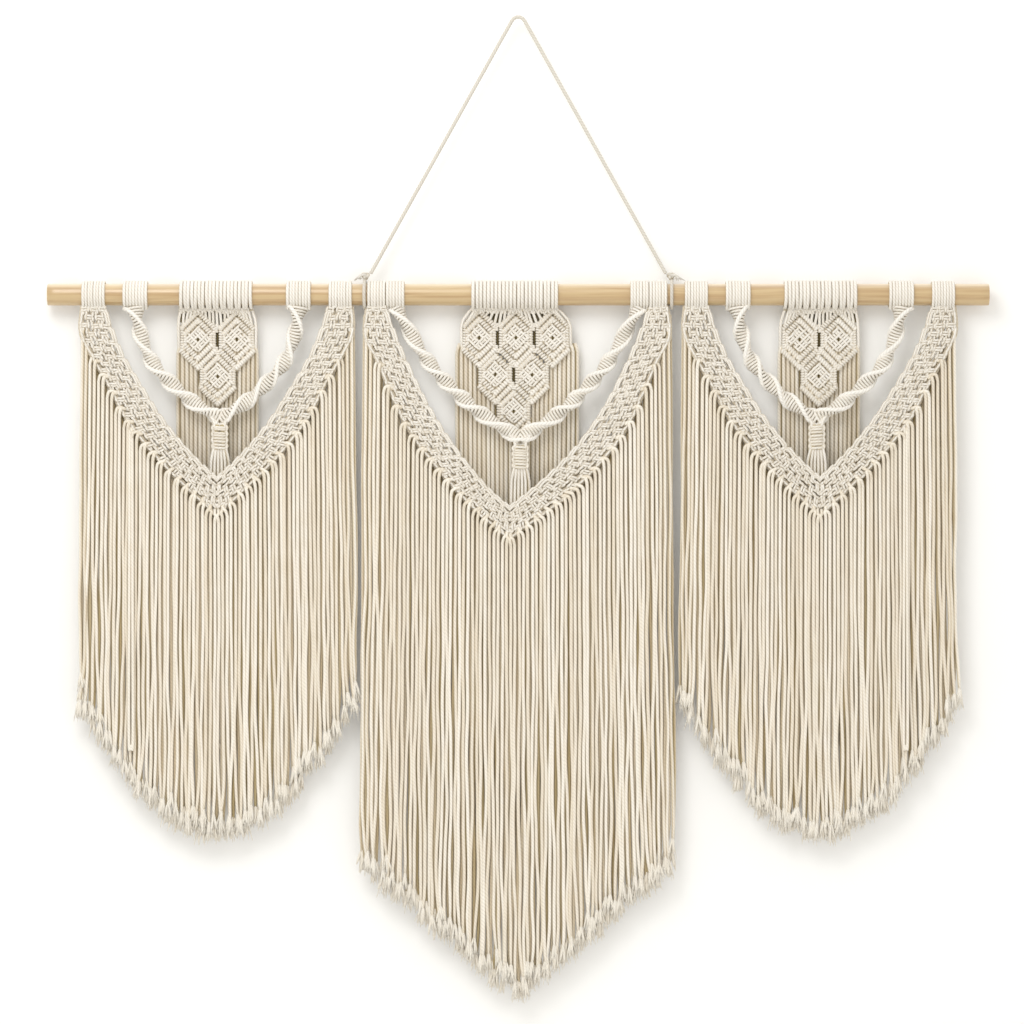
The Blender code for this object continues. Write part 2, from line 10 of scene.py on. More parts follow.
import bpy
import numpy as np
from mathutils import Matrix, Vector


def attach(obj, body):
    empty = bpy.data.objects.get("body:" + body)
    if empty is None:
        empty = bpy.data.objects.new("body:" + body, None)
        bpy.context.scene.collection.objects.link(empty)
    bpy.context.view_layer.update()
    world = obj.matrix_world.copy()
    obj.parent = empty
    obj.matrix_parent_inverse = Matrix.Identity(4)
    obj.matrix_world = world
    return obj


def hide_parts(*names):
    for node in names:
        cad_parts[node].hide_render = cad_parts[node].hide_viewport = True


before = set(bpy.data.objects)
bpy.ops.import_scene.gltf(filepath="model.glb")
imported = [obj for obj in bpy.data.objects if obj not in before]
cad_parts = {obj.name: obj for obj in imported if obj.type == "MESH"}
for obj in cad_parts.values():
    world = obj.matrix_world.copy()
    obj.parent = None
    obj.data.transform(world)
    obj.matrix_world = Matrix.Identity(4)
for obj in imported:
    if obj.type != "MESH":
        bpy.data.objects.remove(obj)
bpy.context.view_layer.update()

bl_info = {
    "name": "Macrame wall hanging",
    "version": (1, 0, 0),
    "blender": (4, 5, 0),
    "location": "3D View > Sidebar > Macrame",
    "description": "Dresses three knotted cotton panels on a pine dowel",
    "category": "Add Mesh",
}

MM = 0.001
TAU = math.tau
FRONT = (0.0, -1.0, 0.0)
BACK = (0.0, 1.0, 0.0)

AXIS_DROP = 322.4  # dowel's axis below the nail
DOWEL_RADIUS = 12.7
DOWEL_HALF = 550.0
WRAP_RADIUS = 2.15  # thickest cord of a tab
WRAP_GAP = 0.25  # between the dowel and its wraps

BAND_Y = -9.4  # middle of the V band's knots
BAND_RELIEF = 2.5  # how far their crossings stand out of it
BAND_COLUMNS = 3
BAND_ROW = 9.6
FRINGE_Y = -8.6
REAR_FRINGE_Y = -5.0
FLARE = 1.025  # the fringe's ends stand this much wider than its roots
BRUSH = 14.5  # how far combed-out ends reach past a fringe cord

SWAG_Y = -3.6  # upper end of a sinnet
SWAG_FORWARD = -4.5  # its lower end is this much further in front
RING_PITCH = 3.5
RING_WIDE, RING_DEEP = 7.2, 3.9  # half axes of a sinnet's rings
GATHER_Y = SWAG_Y + SWAG_FORWARD
MEETING_X = 3.5  # where the sinnets meet
TASSEL_Y = -1.6
TASSEL_HALF = 11.8

MOTIF_Y = 5.0
FLOAT_Y = 8.6  # cords behind the gaps of the diamonds
BACK_CORD_Y = 10.4
CELL_ROW_PITCH = 43.0
CELL_SLIT = 2.5
WEAVE_PITCH = 3.3
# Clove hitches on a side of a diamond: reach across it, lift off it, pitch and radius
FINE = (2.1, 0.0, 3.3, 1.716)
UPRIGHT = (1.2, -0.4, 3.1, 1.716)
ROLL = (1.55, -0.2, 3.3, 2.288)
SLIT_END = (2.9, 1.56)  # pitch and radius of those that close the slits

PLIES = 3
PLY_LAY = 12.0  # length in which a ply of the hanging cord goes round once
TURN_X = 179.4  # the cord's turns round the dowel
TURN_RADIUS = 16.2
KNOT_X = 178.6
KNOT_Z = -300.6
# The hanging cord's route from the left knot to the nail, as (x, z), mirrored for the right
CORD_ROUTE = [
    (-172.3, -297.5), (-149.7, -257.0), (-117.8, -200.0), (-89.9, -150.0), (-62.0, -100.0),
    (-39.6, -60.0), (-22.9, -30.0), (-13.9, -14.0), (-10.0, -7.0), (-7.3, -2.2),
    (-4.2, 0.95), (0.0, 2.1),
]

# Stage, in metres; 1024 pixels of the photograph take in VIEW_WIDTH at the front of the cloth
WALL_Y, FLOOR_Z = 0.0192, -1.75
STAGE_GLOW = 0.05
SOFTBOX_PLACE, SOFTBOX_AIM = (-0.7, -1.8, 1.0), (0.0, 0.0, -0.55)
SOFTBOX_WIDTH = 1.3
VIEW_X, VIEW_Y, VIEW_Z = -0.0073, -0.010, -0.5765
VIEW_WIDTH = 1.195
LENS, SENSOR = 180.0, 36.0

Tab = namedtuple("Tab", "x width turns slant")
Kind = namedtuple(
    "Kind",
    "band_tab swag_tab motif_tab edges tip_lean strands pitch hem_tip hem_edge hem_power "
    "sinnet narrows gather_top gather_bottom tassel_end "
    "cell_pitch cell_rows cell_shift first_cell back_strands back_pitch back_end",
)
Panel = namedtuple("Panel", "name kind middle hand")

SIDE = Kind(
    band_tab=Tab(144.1, 26.8, 8, 0.3),
    swag_tab=Tab(95.4, 28.6, 8, 0.2),
    motif_tab=Tab(-1.2, 85.0, 20, 1.4),
    # outer x, outer drop, inner x, inner drop
    edges=[
        (158.0, 13.6, 130.4, 13.6),
        (159.6, 45.0, 119.0, 47.0),
        (146.0, 74.0, 106.0, 76.0),
        (128.0, 105.0, 88.0, 106.0),
        (108.0, 143.0, 66.5, 140.0),
        (80.0, 181.0, 44.0, 169.0),
        (42.0, 221.0, 22.0, 193.0),
        (0.0, 260.0, 0.0, 213.6),
    ],
    tip_lean=0.0, strands=56, pitch=5.68, hem_tip=638.0, hem_edge=478.0, hem_power=1.9,
    sinnet=[(95.7, 14.6), (90.0, 46.7), (77.0, 79.4), (54.8, 105.0), (29.2, 127.2),
            (0.0, 144.5)],
    narrows=(0.12, 0.325, 0.51, 0.709, 0.90),
    gather_top=152.6, gather_bottom=181.0, tassel_end=532.0,
    cell_pitch=45.5, cell_rows=(2, 1), cell_shift=(0.0, 0.4), first_cell=52.4,
    back_strands=16, back_pitch=6.1, back_end=524.0,
)
CENTRE = Kind(
    band_tab=Tab(164.5, 21.0, 6, 0.2),
    swag_tab=Tab(142.6, 21.5, 6, 0.3),
    motif_tab=Tab(-2.9, 101.5, 23, 0.3),
    edges=[
        (175.6, 13.6, 154.0, 13.6),
        (178.8, 49.0, 140.5, 50.0),
        (164.5, 77.0, 124.0, 88.0),
        (148.8, 114.4, 106.0, 124.0),
        (127.2, 158.7, 83.0, 161.0),
        (97.0, 199.0, 56.0, 195.0),
        (54.0, 244.0, 27.0, 225.0),
        (0.0, 287.0, 0.0, 247.4),
    ],
    tip_lean=9.0, strands=62, pitch=5.76, hem_tip=825.0, hem_edge=671.0, hem_power=1.03,
    sinnet=[(141.5, 14.6), (121.0, 53.7), (100.4, 85.2), (73.5, 114.4), (43.2, 141.0),
            (0.0, 168.5)],
    narrows=(0.099, 0.30, 0.458, 0.604, 0.749, 0.885),
    gather_top=176.6, gather_bottom=203.5, tassel_end=684.0,
    cell_pitch=43.0, cell_rows=(3, 2, 1), cell_shift=(-1.6, -4.2, -4.2), first_cell=50.4,
    back_strands=22, back_pitch=6.65, back_end=676.0,
)
PANELS = (
    Panel("left", SIDE, -351.9, 1),
    Panel("centre", CENTRE, -1.1, 1),
    Panel("right", SIDE, 351.9, -1),
)


# ---------------------------------------------------------------- shape functions


def columns(*values):
    """Values brought to one shape and set side by side along a new last axis."""
    return np.stack(np.broadcast_arrays(*values), axis=-1)


def curve(rows, t):
    """Smooth curve through evenly spaced rows: between two rows the cubic whose slope at
    each is half the difference of its neighbours. t is an array from 0 to 1."""
    points = np.asarray(rows, float)
    s = np.clip(t, 0.0, 1.0) * (len(points) - 1)
    i = np.minimum(s.astype(int), len(points) - 2)
    f = (s - i)[..., None]
    a, b = points[np.maximum(i - 1, 0)], points[i]
    c, d = points[i + 1], points[np.minimum(i + 2, len(points) - 1)]
    square = (2 * a - 5 * b + 4 * c - d) * f * f
    return 0.5 * (2 * b + (c - a) * f + square + (3 * b - a - 3 * c + d) * f**3)


def through(controls, count):
    """The same cubic through the points of many paths at once, count points on each."""
    across = np.moveaxis(np.asarray(controls, float), 1, 0)
    flat = curve(across.reshape(len(across), -1), np.linspace(0, 1, count))
    return np.moveaxis(flat.reshape(count, *across.shape[1:]), 0, 1)


def placed(panel, x, y, drop):
    """World millimetres of places in a panel: x from its middle, mirrored on the right."""
    return columns(panel.middle + panel.hand * x, y, -AXIS_DROP - drop)


def unit(vectors):
    """Vectors divided by their length."""
    return vectors / np.maximum(np.linalg.norm(vectors, axis=-1, keepdims=True), 1e-9)


def lengths(paths):
    """Length of each path (..., points, axes) from its start to each point."""
    steps = np.linalg.norm(np.diff(paths, axis=-2), axis=-1)
    return np.concatenate([0 * steps[..., :1], np.cumsum(steps, axis=-1)], axis=-1)


def carried(paths):
    """Two crosswise unit vectors for every point of every path. The first is dropped onto
    the plane across the path again at each point, so the pair never twists on its own."""
    tangent = unit(np.gradient(paths, axis=1))
    now = np.where(np.abs(tangent[:, 0, 1:2]) < 0.8, [[0.0, 1.0, 0.0]], [[1.0, 0.0, 0.0]])
    side = np.empty_like(paths)
    for k in range(paths.shape[1]):
        t = tangent[:, k]
        now = unit(now - np.sum(now * t, axis=1, keepdims=True) * t)
        side[:, k] = now
    return side, np.cross(tangent, side)


def lattice(rings, sides):
    """Corners of the quads between rings of points, each ring closed on itself, and of the
    fans that close the first and the last ring on two points that follow them; also the
    ring and the side at which each corner of a quad stands."""
    i, j = np.meshgrid(np.arange(rings - 1), np.arange(sides), indexing="ij")
    row = i.reshape(-1, 1) + [0, 0, 1, 1]
    column = j.reshape(-1, 1) + [0, 1, 1, 0]
    k = np.arange(sides)
    k_next = (k + 1) % sides
    point, end = rings * sides, (rings - 1) * sides
    fans = np.concatenate([columns(point, k_next, k), columns(point + 1, end + k, end + k_next)])
    return row * sides + column % sides, fans, row, column


def tubes(paths, radius, sides, tint=0.5, depth=0.0, tip=0.4, face=FRONT, dark=0.0):
    """Skins of round cords along paths (n, m, 3): ring points are
    centre + radius * (cos a * side + sin a * up). With a depth, the radius sinks by that
    share between the plies, as |cos| of half of PLIES * (a + turn), where turn grows by a
    full circle every PLY_LAY. Each end is closed by a fan to a point pushed out by tip
    radii. Painted shade goes where a cord turns away from face, the open side of its
    layer: the shade value grows from dark to dark + 1 as the dot product of face and the
    ring falls from 0.8 to -0.35. The map's u runs round a cord, its v is centimetres along."""
    n, m, _ = paths.shape
    radius = np.broadcast_to(radius, (n, m))
    along = lengths(paths)
    side, up = carried(paths)
    angle = np.arange(sides) * TAU / sides
    reach = radius[..., None]
    if depth:
        wave = np.abs(np.cos(PLIES / 2 * (angle + along[..., None] * TAU / PLY_LAY)))
        reach = reach * (1 - depth + depth * wave)
    ring = np.cos(angle)[:, None] * side[:, :, None] + np.sin(angle)[:, None] * up[:, :, None]
    skin = paths[:, :, None] + reach[..., None] * ring
    first = paths[:, 0] - tip * radius[:, :1] * unit(paths[:, 1] - paths[:, 0])
    last = paths[:, -1] + tip * radius[:, -1:] * unit(paths[:, -1] - paths[:, -2])
    verts = np.concatenate([skin.reshape(n, -1, 3), first[:, None], last[:, None]], axis=1)

    each = m * sides + 2
    shift = (np.arange(n) * each)[:, None, None]
    quad, fan, row, column = lattice(m, sides)
    quad_uv = columns(column / sides, along[:, row] / 10)
    fan_u = np.tile((np.arange(sides)[:, None] + [0.5, 1, 0]) / sides, (2, 1))
    fan_v = columns(0.0, along[:, -1] / 10).repeat(sides, axis=1)
    fan_uv = columns(fan_u, fan_v[..., None])
    shade = np.zeros((n, each)) + np.broadcast_to(dark, n)[:, None]
    if face is not None:
        face = np.asarray(face, float)
        if face.ndim < 3:
            face = face.reshape(-1, 1, 3)
        facing = np.sum(ring * face[:, :, None], axis=-1)
        shade[:, :m * sides] += np.clip((0.8 - facing) / 1.15, 0, 1).reshape(n, -1)
    return (verts.reshape(-1, 3), (quad + shift).reshape(-1, 4), (fan + shift).reshape(-1, 3),
            quad_uv.reshape(-1, 2), fan_uv.reshape(-1, 2),
            np.broadcast_to(tint, n).repeat(each), shade.ravel())


def add_object(name, data):
    """An object in the scene with the data given."""
    made = bpy.data.objects.new(name, data)
    bpy.context.scene.collection.objects.link(made)
    return made


def add_piece(name, parts, looks, node):
    """One mesh from many skins, in metres, with its UV map and its cords' tint and shade."""
    verts, quads, fans, quad_uv, fan_uv, tint, shade = zip(*parts)
    base = np.cumsum([0] + [len(part) for part in verts[:-1]])
    quads = np.concatenate([part + b for part, b in zip(quads, base)])
    fans = np.concatenate([part + b for part, b in zip(fans, base)])
    verts = np.concatenate(verts) * MM
    mesh = bpy.data.meshes.new(name)
    mesh.vertices.add(len(verts))
    mesh.vertices.foreach_set("co", verts.astype(np.float32).ravel())
    mesh.loops.add(quads.size + fans.size)
    corners = np.concatenate([quads.ravel(), fans.ravel()]).astype(np.int32)
    mesh.loops.foreach_set("vertex_index", corners)
    mesh.polygons.add(len(quads) + len(fans))
    starts = np.concatenate([np.arange(len(quads)) * 4, quads.size + np.arange(len(fans)) * 3])
    mesh.polygons.foreach_set("loop_start", starts.astype(np.int32))
    mesh.update(calc_edges=True)
    uv = np.concatenate(quad_uv + fan_uv).astype(np.float32)
    mesh.uv_layers.new(name="UVMap").uv.foreach_set("vector", uv.ravel())
    for word, values in (("tint", tint), ("shade", shade)):
        field = mesh.attributes.new(word, "FLOAT", "POINT")
        field.data.foreach_set("value", np.concatenate(values).astype(np.float32))
    if mesh.validate(verbose=False):
        raise RuntimeError(f"{name}: the mesh had faults")
    mesh.shade_smooth()
    mesh.materials.append(finish(looks))
    made = add_object(name, mesh)
    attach(made, "root")
    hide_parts(node)
    return made


# ---------------------------------------------------------------- finishes


def linear(code):
    """Linear colour from an sRGB hex value."""
    values = [int(code[k:k + 2], 16) / 255 for k in (1, 3, 5)]
    return (*(v / 12.92 if v <= 0.04045 else ((v + 0.055) / 1.055) ** 2.4 for v in values), 1.0)


def add_node(tree, kind, inputs=None, out=0, to=None, **settings):
    """Adds a shader node with its settings and gives the output asked for. An input given
    as a socket is linked, and so is the output where to is a socket."""
    made = tree.nodes.new(f"ShaderNode{kind}")
    for key, value in settings.items():
        setattr(made, key, value)
    for key, value in (inputs or {}).items():
        if isinstance(value, bpy.types.NodeSocket):
            tree.links.new(value, made.inputs[key])
        else:
            made.inputs[key].default_value = value
    if to is not None:
        tree.links.new(made.outputs[out], to)
    return made.outputs[out]


def new_finish(name, inputs):
    """A material, its node tree and its shader, with the shader's inputs set."""
    made = bpy.data.materials.new(name)
    made.use_nodes = True
    shader = made.node_tree.nodes["Principled BSDF"]
    for key, value in inputs.items():
        shader.inputs[key].default_value = value
    return made, made.node_tree, shader


def set_ramp(factor, stops):
    """Sets a new colour ramp's stops: each is its place and its colour."""
    elements = factor.node.color_ramp.elements
    elements[0].position, elements[1].position = stops[0][0], stops[-1][0]
    for place, _ in stops[1:-1]:
        elements.new(place)
    for element, (_, code) in zip(elements, stops):
        element.color = linear(code)


def cotton(name, light, dark, lay, bump):
    """Natural cotton cord, plied and unbleached: matt and softly downy, with a helix of
    plies and fine fibres along them, and each cord a little lighter or darker than the
    next. The ridges of the plies are |sin(pi * (PLIES * u + v * PLIES / lay))|; painted shade
    darkens the grooves between them and the places that the shade value marks."""
    made, tree, shader = new_finish(
        name, {"Roughness": 0.92, "Sheen Weight": 0.25, "Specular IOR Level": 0.15})
    place = add_node(tree, "UVMap", uv_map="UVMap")
    u = add_node(tree, "SeparateXYZ", {0: place})
    # v of the map is in centimetres, lay in millimetres
    turn = add_node(tree, "Math", {0: u.node.outputs[1], 1: 10 * PLIES / lay}, operation="MULTIPLY")
    phase = add_node(tree, "Math", {0: u, 1: float(PLIES), 2: turn}, operation="MULTIPLY_ADD")
    half = add_node(tree, "Math", {0: phase, 1: math.pi}, operation="MULTIPLY")
    wave = add_node(tree, "Math", {0: half}, operation="SINE")
    ply = add_node(tree, "Math", {0: wave}, operation="ABSOLUTE")
    # fibres about 0.3 mm wide, drawn coarser than real cotton so that they show
    stretch = add_node(tree, "Mapping", {0: place, 3: (26.0, 3.0, 1.0)})
    fibres = add_node(tree, "TexNoise", {"Vector": stretch, "Scale": 1.0, "Detail": 3.0})
    spot = add_node(tree, "TexCoord", out="Object")
    blotch = add_node(tree, "TexNoise", {"Vector": spot, "Scale": 55.0, "Detail": 2.0})
    tint = add_node(tree, "Attribute", out="Fac", attribute_name="tint")
    mixed = add_node(tree, "Math", {0: tint, 1: 0.6}, operation="MULTIPLY")
    uneven = add_node(tree, "Math", {0: blotch, 1: 0.5, 2: mixed}, operation="MULTIPLY_ADD")
    natural = add_node(tree, "Mix", {0: uneven, 6: linear(light), 7: linear(dark)},
                       out=2, data_type="RGBA")
    # painted shade: the colour darkens to 0.8 of itself in the grooves between the plies
    painted_groove_shade = add_node(tree, "MapRange", {0: ply, 1: 0.0, 2: 0.55, 3: 0.80, 4: 1.0})
    plied = add_node(tree, "Mix", {0: 1.0, 6: natural, 7: painted_groove_shade},
                     out=2, data_type="RGBA", blend_type="MULTIPLY")
    # painted shade: between cords, where no light reaches the fibres, the shade value darkens the
    # colour towards olive brown
    gap = add_node(tree, "Attribute", out="Fac", attribute_name="shade")
    depth = add_node(tree, "Math", {0: gap, 1: 0.5}, operation="MULTIPLY")
    painted_shade = add_node(tree, "ValToRGB", {0: depth})
    set_ramp(painted_shade, ((0.0, "#FFFFFF"), (0.28, "#E7E0D3"), (0.5, "#C4B796"), (1.0, "#6E6444")))
    add_node(tree, "Mix", {0: 1.0, 6: plied, 7: painted_shade}, out=2, to=shader.inputs["Base Color"],
             data_type="RGBA", blend_type="MULTIPLY")
    height = add_node(tree, "Math", {0: fibres, 1: 0.35, 2: ply}, operation="MULTIPLY_ADD")
    add_node(tree, "Bump", {"Height": height, "Strength": bump, "Distance": 0.0006},
             to=shader.inputs["Normal"])
    return made


def pine():
    """Turned and sanded pine: soft growth lines that run along the rod and waver, broad
    pale early wood between them, a satin surface and a painted highlight along the top."""
    made, tree, shader = new_finish("sanded_pine", {"Roughness": 0.3, "Specular IOR Level": 1.0})
    spot = add_node(tree, "TexCoord", out="Object")
    # a growth line every 2 to 5 mm across the rod, drawn out forty times along it
    stretch = add_node(tree, "Mapping", {0: spot, 1: (3.1, 0.4, 0.7), 3: (5.0, 210.0, 210.0)})
    warp = add_node(tree, "Mapping", {0: spot, 3: (4.5, 40.0, 40.0)})
    bend = add_node(tree, "TexNoise", {"Vector": warp, "Scale": 1.0, "Detail": 1.0}, out=1)
    shift = add_node(tree, "VectorMath", {0: bend, 1: (0.0, 3.4, 3.4), 2: stretch},
                     operation="MULTIPLY_ADD")
    lines = add_node(tree, "TexNoise",
                     {"Vector": shift, "Scale": 1.0, "Detail": 3.0, "Roughness": 0.55})
    wood = add_node(tree, "ValToRGB", {0: lines})
    set_ramp(wood, ((0.30, "#B59265"), (0.56, "#CEB385")))
    # painted highlight: the upper side, which the light from above falls on, is mixed towards pale
    # cream by the rod's tint
    upper = add_node(tree, "Attribute", out="Fac", attribute_name="tint")
    add_node(tree, "Mix", {0: upper, 6: wood, 7: linear("#FFF4E0")}, out=2,
             to=shader.inputs["Base Color"], data_type="RGBA")
    # pores, drawn coarser than real ones so that they show
    pores = add_node(tree, "Mapping", {0: spot, 3: (60.0, 2500.0, 2500.0)})
    speck = add_node(tree, "TexNoise", {"Vector": pores, "Scale": 1.0, "Detail": 1.0})
    add_node(tree, "Bump", {"Height": speck, "Strength": 0.15, "Distance": 0.0003},
             to=shader.inputs["Normal"])
    return made


FINISHES = {}
COTTONS = {
    # name of the finish and how far its plies and fibres stand out
    "knots": ("knotted_cotton_cord", 0.6),
    "fringe": ("combed_cotton_fringe", 0.4),
    "cord": ("twisted_hanging_cotton", 0.35),
}


def finish(word):
    """A material of this object, made when it is first asked for."""
    if word not in FINISHES:
        settings = bpy.context.scene.hanging
        if word == "pine":
            FINISHES[word] = pine()
        else:
            name, bump = COTTONS[word]
            light, dark = (getattr(settings, f"{word}_{end}") for end in ("light", "dark"))
            FINISHES[word] = cotton(name, light, dark, settings.lay, bump)
    return FINISHES[word]


def draws(offset):
    """Random draws of one piece, which start from the seed and the piece's own number."""
    return np.random.default_rng(bpy.context.scene.hanging.seed * 100 + offset)


# ---------------------------------------------------------------- shapes of the pieces


def tab_wraps(panel, tab, side, radius_share, foot, rng):
    """Turns of cord round the dowel: each rises from the knots below, whose y is foot,
    follows a circle round the axis and comes back under the rod."""
    pitch = tab.width / tab.turns
    radius = min(WRAP_RADIUS, pitch * radius_share)
    reach = DOWEL_RADIUS + WRAP_GAP + radius
    theta = np.linspace(-math.acos(max(-1.0, -foot / reach)), math.radians(296), 24)
    y = np.concatenate([[foot], -reach * np.cos(theta)])
    drop = np.concatenate([[-reach * np.sin(theta[0]) + 3.5], -reach * np.sin(theta)])
    place = (np.arange(tab.turns) + 0.5) / tab.turns - 0.5
    x = side * tab.x + tab.width * place
    x = x + rng.uniform(-0.05, 0.05, tab.turns) * pitch
    slant = tab.slant * np.where(np.arange(tab.turns) % 2, 1.0, -1.0) * 0.5
    lean = slant[:, None] * np.clip(drop / 16, 0, 1) ** 2
    # painted shade on the side of each turn that faces in towards the dowel
    face = unit(columns(0.0, y, -np.minimum(drop, 4.0)))[None]
    return tubes(placed(panel, x[:, None] + lean, y, drop), radius, 8,
                 tint=rng.uniform(0, 0.5, tab.turns), face=face)


def arm_of(kind):
    """Many values of t along a band's arm and the length of its middle up to each."""
    t = np.linspace(0, 1, 801)
    rows = curve(kind.edges, t)
    return t, lengths((rows[:, :2] + rows[:, 2:]) / 2)


def tip_lean(kind, x):
    """How far the tip of a V hangs to the left: the lean fades as a bell curve."""
    return -kind.tip_lean * np.exp(-(np.asarray(x) / 62.0) ** 2)


def on_band(panel, side, t, a, lift):
    """Places on one arm: t along it, a across it from outer to inner edge, lift off it."""
    rows = curve(panel.kind.edges, t)
    x = side * (rows[..., 0] + (rows[..., 2] - rows[..., 0]) * a)
    drop = rows[..., 1] + (rows[..., 3] - rows[..., 1]) * a
    back = 2.4 * np.maximum(0.0, 1 - 6 * t)
    return placed(panel, x + tip_lean(panel.kind, x), BAND_Y + back - BAND_RELIEF * lift, drop)


# Square knot in a unit cell: points (across, along, lift) and radius in mm. Two bars lie
# over the fillers, one loop holds their ends on the left and two on the right; below, the
# fillers run on and the outer cords part.
KNOT = (
    ([(-0.30, -0.10, -0.8), (-0.22, -0.15, 0.5), (0.0, -0.17, 1.0), (0.22, -0.14, 0.6),
      (0.30, -0.08, -0.7)], 1.6),
    ([(-0.30, 0.10, -0.7), (-0.22, 0.13, 0.6), (0.0, 0.16, 1.0), (0.22, 0.17, 0.5),
      (0.30, 0.12, -0.8)], 1.6),
    ([(-0.30, -0.36, -0.7), (-0.37, -0.24, 0.5), (-0.38, 0.0, 1.0), (-0.37, 0.24, 0.5),
      (-0.30, 0.36, -0.7)], 1.6),
    ([(0.32, -0.50, -0.6), (0.38, -0.38, 0.4), (0.38, -0.2, 0.95), (0.34, -0.06, 0.4),
      (0.26, 0.0, -0.7)], 1.6),
    ([(0.26, 0.0, -0.7), (0.34, 0.06, 0.4), (0.38, 0.2, 0.95), (0.38, 0.38, 0.4),
      (0.32, 0.50, -0.6)], 1.6),
    ([(-0.12, 0.20, -0.6), (-0.14, 0.34, 0.3), (-0.15, 0.5, 0.45), (-0.20, 0.66, 0.1),
      (-0.26, 0.8, -0.7)], 1.7),
    ([(0.12, 0.20, -0.6), (0.13, 0.34, 0.35), (0.16, 0.5, 0.5), (0.20, 0.66, 0.1),
      (0.26, 0.8, -0.7)], 1.7),
)


def square_knots(spots, spot_to_world, rng):
    """Skins of square knots centred on spots (across, along), in units of one knot; about
    half of them are turned the other way round."""
    n = len(spots)
    flip = np.where(rng.random(n) < 0.5, -1.0, 1.0)[:, None]
    shake = rng.normal(0, 0.04, (n, 2))
    parts = []
    for template, radius in KNOT:
        shape = through([template], 6)[0]
        across = spots[:, :1] + shape[:, 0] * flip + shake[:, :1]
        along = spots[:, 1:] + shape[:, 1] + shake[:, 1:]
        lift = shape[:, 2] + rng.normal(0, 0.16, (n, 1))
        parts.append(tubes(spot_to_world(across, along, lift), radius, 5,
                           tint=rng.uniform(0, 1, n)))
    return parts


def band_knots(panel, side, rng):
    """Alternating square knots: full rows of three and, between them, rows of two that
    are offset by half a column, with the edge cords running past them."""
    t, run = arm_of(panel.kind)
    rows = int(round((run[-1] + 1.0) / BAND_ROW))
    height = (run[-1] + 1.0) / rows
    full = [(c + 0.5, r + 0.4) for r in range(0, rows, 2) for c in range(BAND_COLUMNS)]
    odd = [(c + 1.0, r + 0.4) for r in range(1, rows, 2) for c in range(BAND_COLUMNS - 1)]
    parts = square_knots(np.array(full + odd, float), lambda across, along, lift: on_band(
        panel, side, np.interp(along * height, run, t), across / BAND_COLUMNS, lift), rng)
    # the knots' fillers run straight along the band, under everything, with painted shade on their
    # front
    at = np.interp(np.linspace(0, run[-1], 40), run, t)
    for lane in (0.02, *(np.arange(2 * BAND_COLUMNS) + 0.5) / (2 * BAND_COLUMNS)):
        path = on_band(panel, side, at, lane, -0.8)
        parts.append(tubes(path[None], 2.7, 6, tint=rng.uniform(0.2, 0.7), face=BACK, dark=-0.4))
    # pairs of cords pass the short rows at each edge: they come out from under a full row,
    # jut past the edge and close in again towards the next full row
    turns = np.arange(0, rows, 2)
    v = np.array([0.0, 0.06, 0.13, 0.35, 0.6, 0.8, 0.93, 1.0])
    jut = np.array([-4.0, 0.0, 1.3, 1.0, 0.6, 0.2, -0.3, -1.8])
    rise = np.array([-0.8, 0.6, 0.8, 0.8, 0.8, 0.7, 0.3, -0.9])
    at = np.interp((turns[:, None] + 0.6 + 1.74 * v) * height, run, t)
    edges = curve(panel.kind.edges, at)
    width = np.linalg.norm(edges[..., 2:] - edges[..., :2], axis=-1)
    for inner, in_by, lift in ((True, 1.3, 0.0), (True, 4.2, 0.1), (False, 2.0, -0.3)):
        off = (jut * (1.0 if inner else 0.3) - in_by) / width
        paths = on_band(panel, side, at, 1 + off if inner else -off, rise + lift)
        parts.append(tubes(paths, 1.62, 5, tint=rng.uniform(0.0, 0.7, len(turns))))
    return parts


def hem_drop(kind, x):
    """Drop of the hem: it rises from the tip to the edges by the share of the half width
    that x is from the middle, raised to hem_power."""
    half = kind.strands / 2 * kind.pitch
    share = np.minimum(1.0, np.abs(x) / half) ** kind.hem_power
    return kind.hem_tip - (kind.hem_tip - kind.hem_edge) * share


def waves(rng, n, m, size, length):
    """Slow sideways drift of hanging cords: a sum of sines that grows down the cord."""
    s = np.linspace(0, 1, m) * length[:, None]
    total = np.zeros((n, m))
    wavelengths = (95.0, 200.0, 420.0)
    for k, wavelength in enumerate(wavelengths):
        phase = rng.uniform(0, TAU, (n, 1))
        total += (k + 1) * np.sin(s * TAU / (wavelength * rng.uniform(0.8, 1.25, (n, 1))) + phase)
    grow = np.clip(s / 260.0, 0, 1) * (0.55 + 0.45 * s / np.maximum(length[:, None], 1))
    return size * total / len(wavelengths) * grow


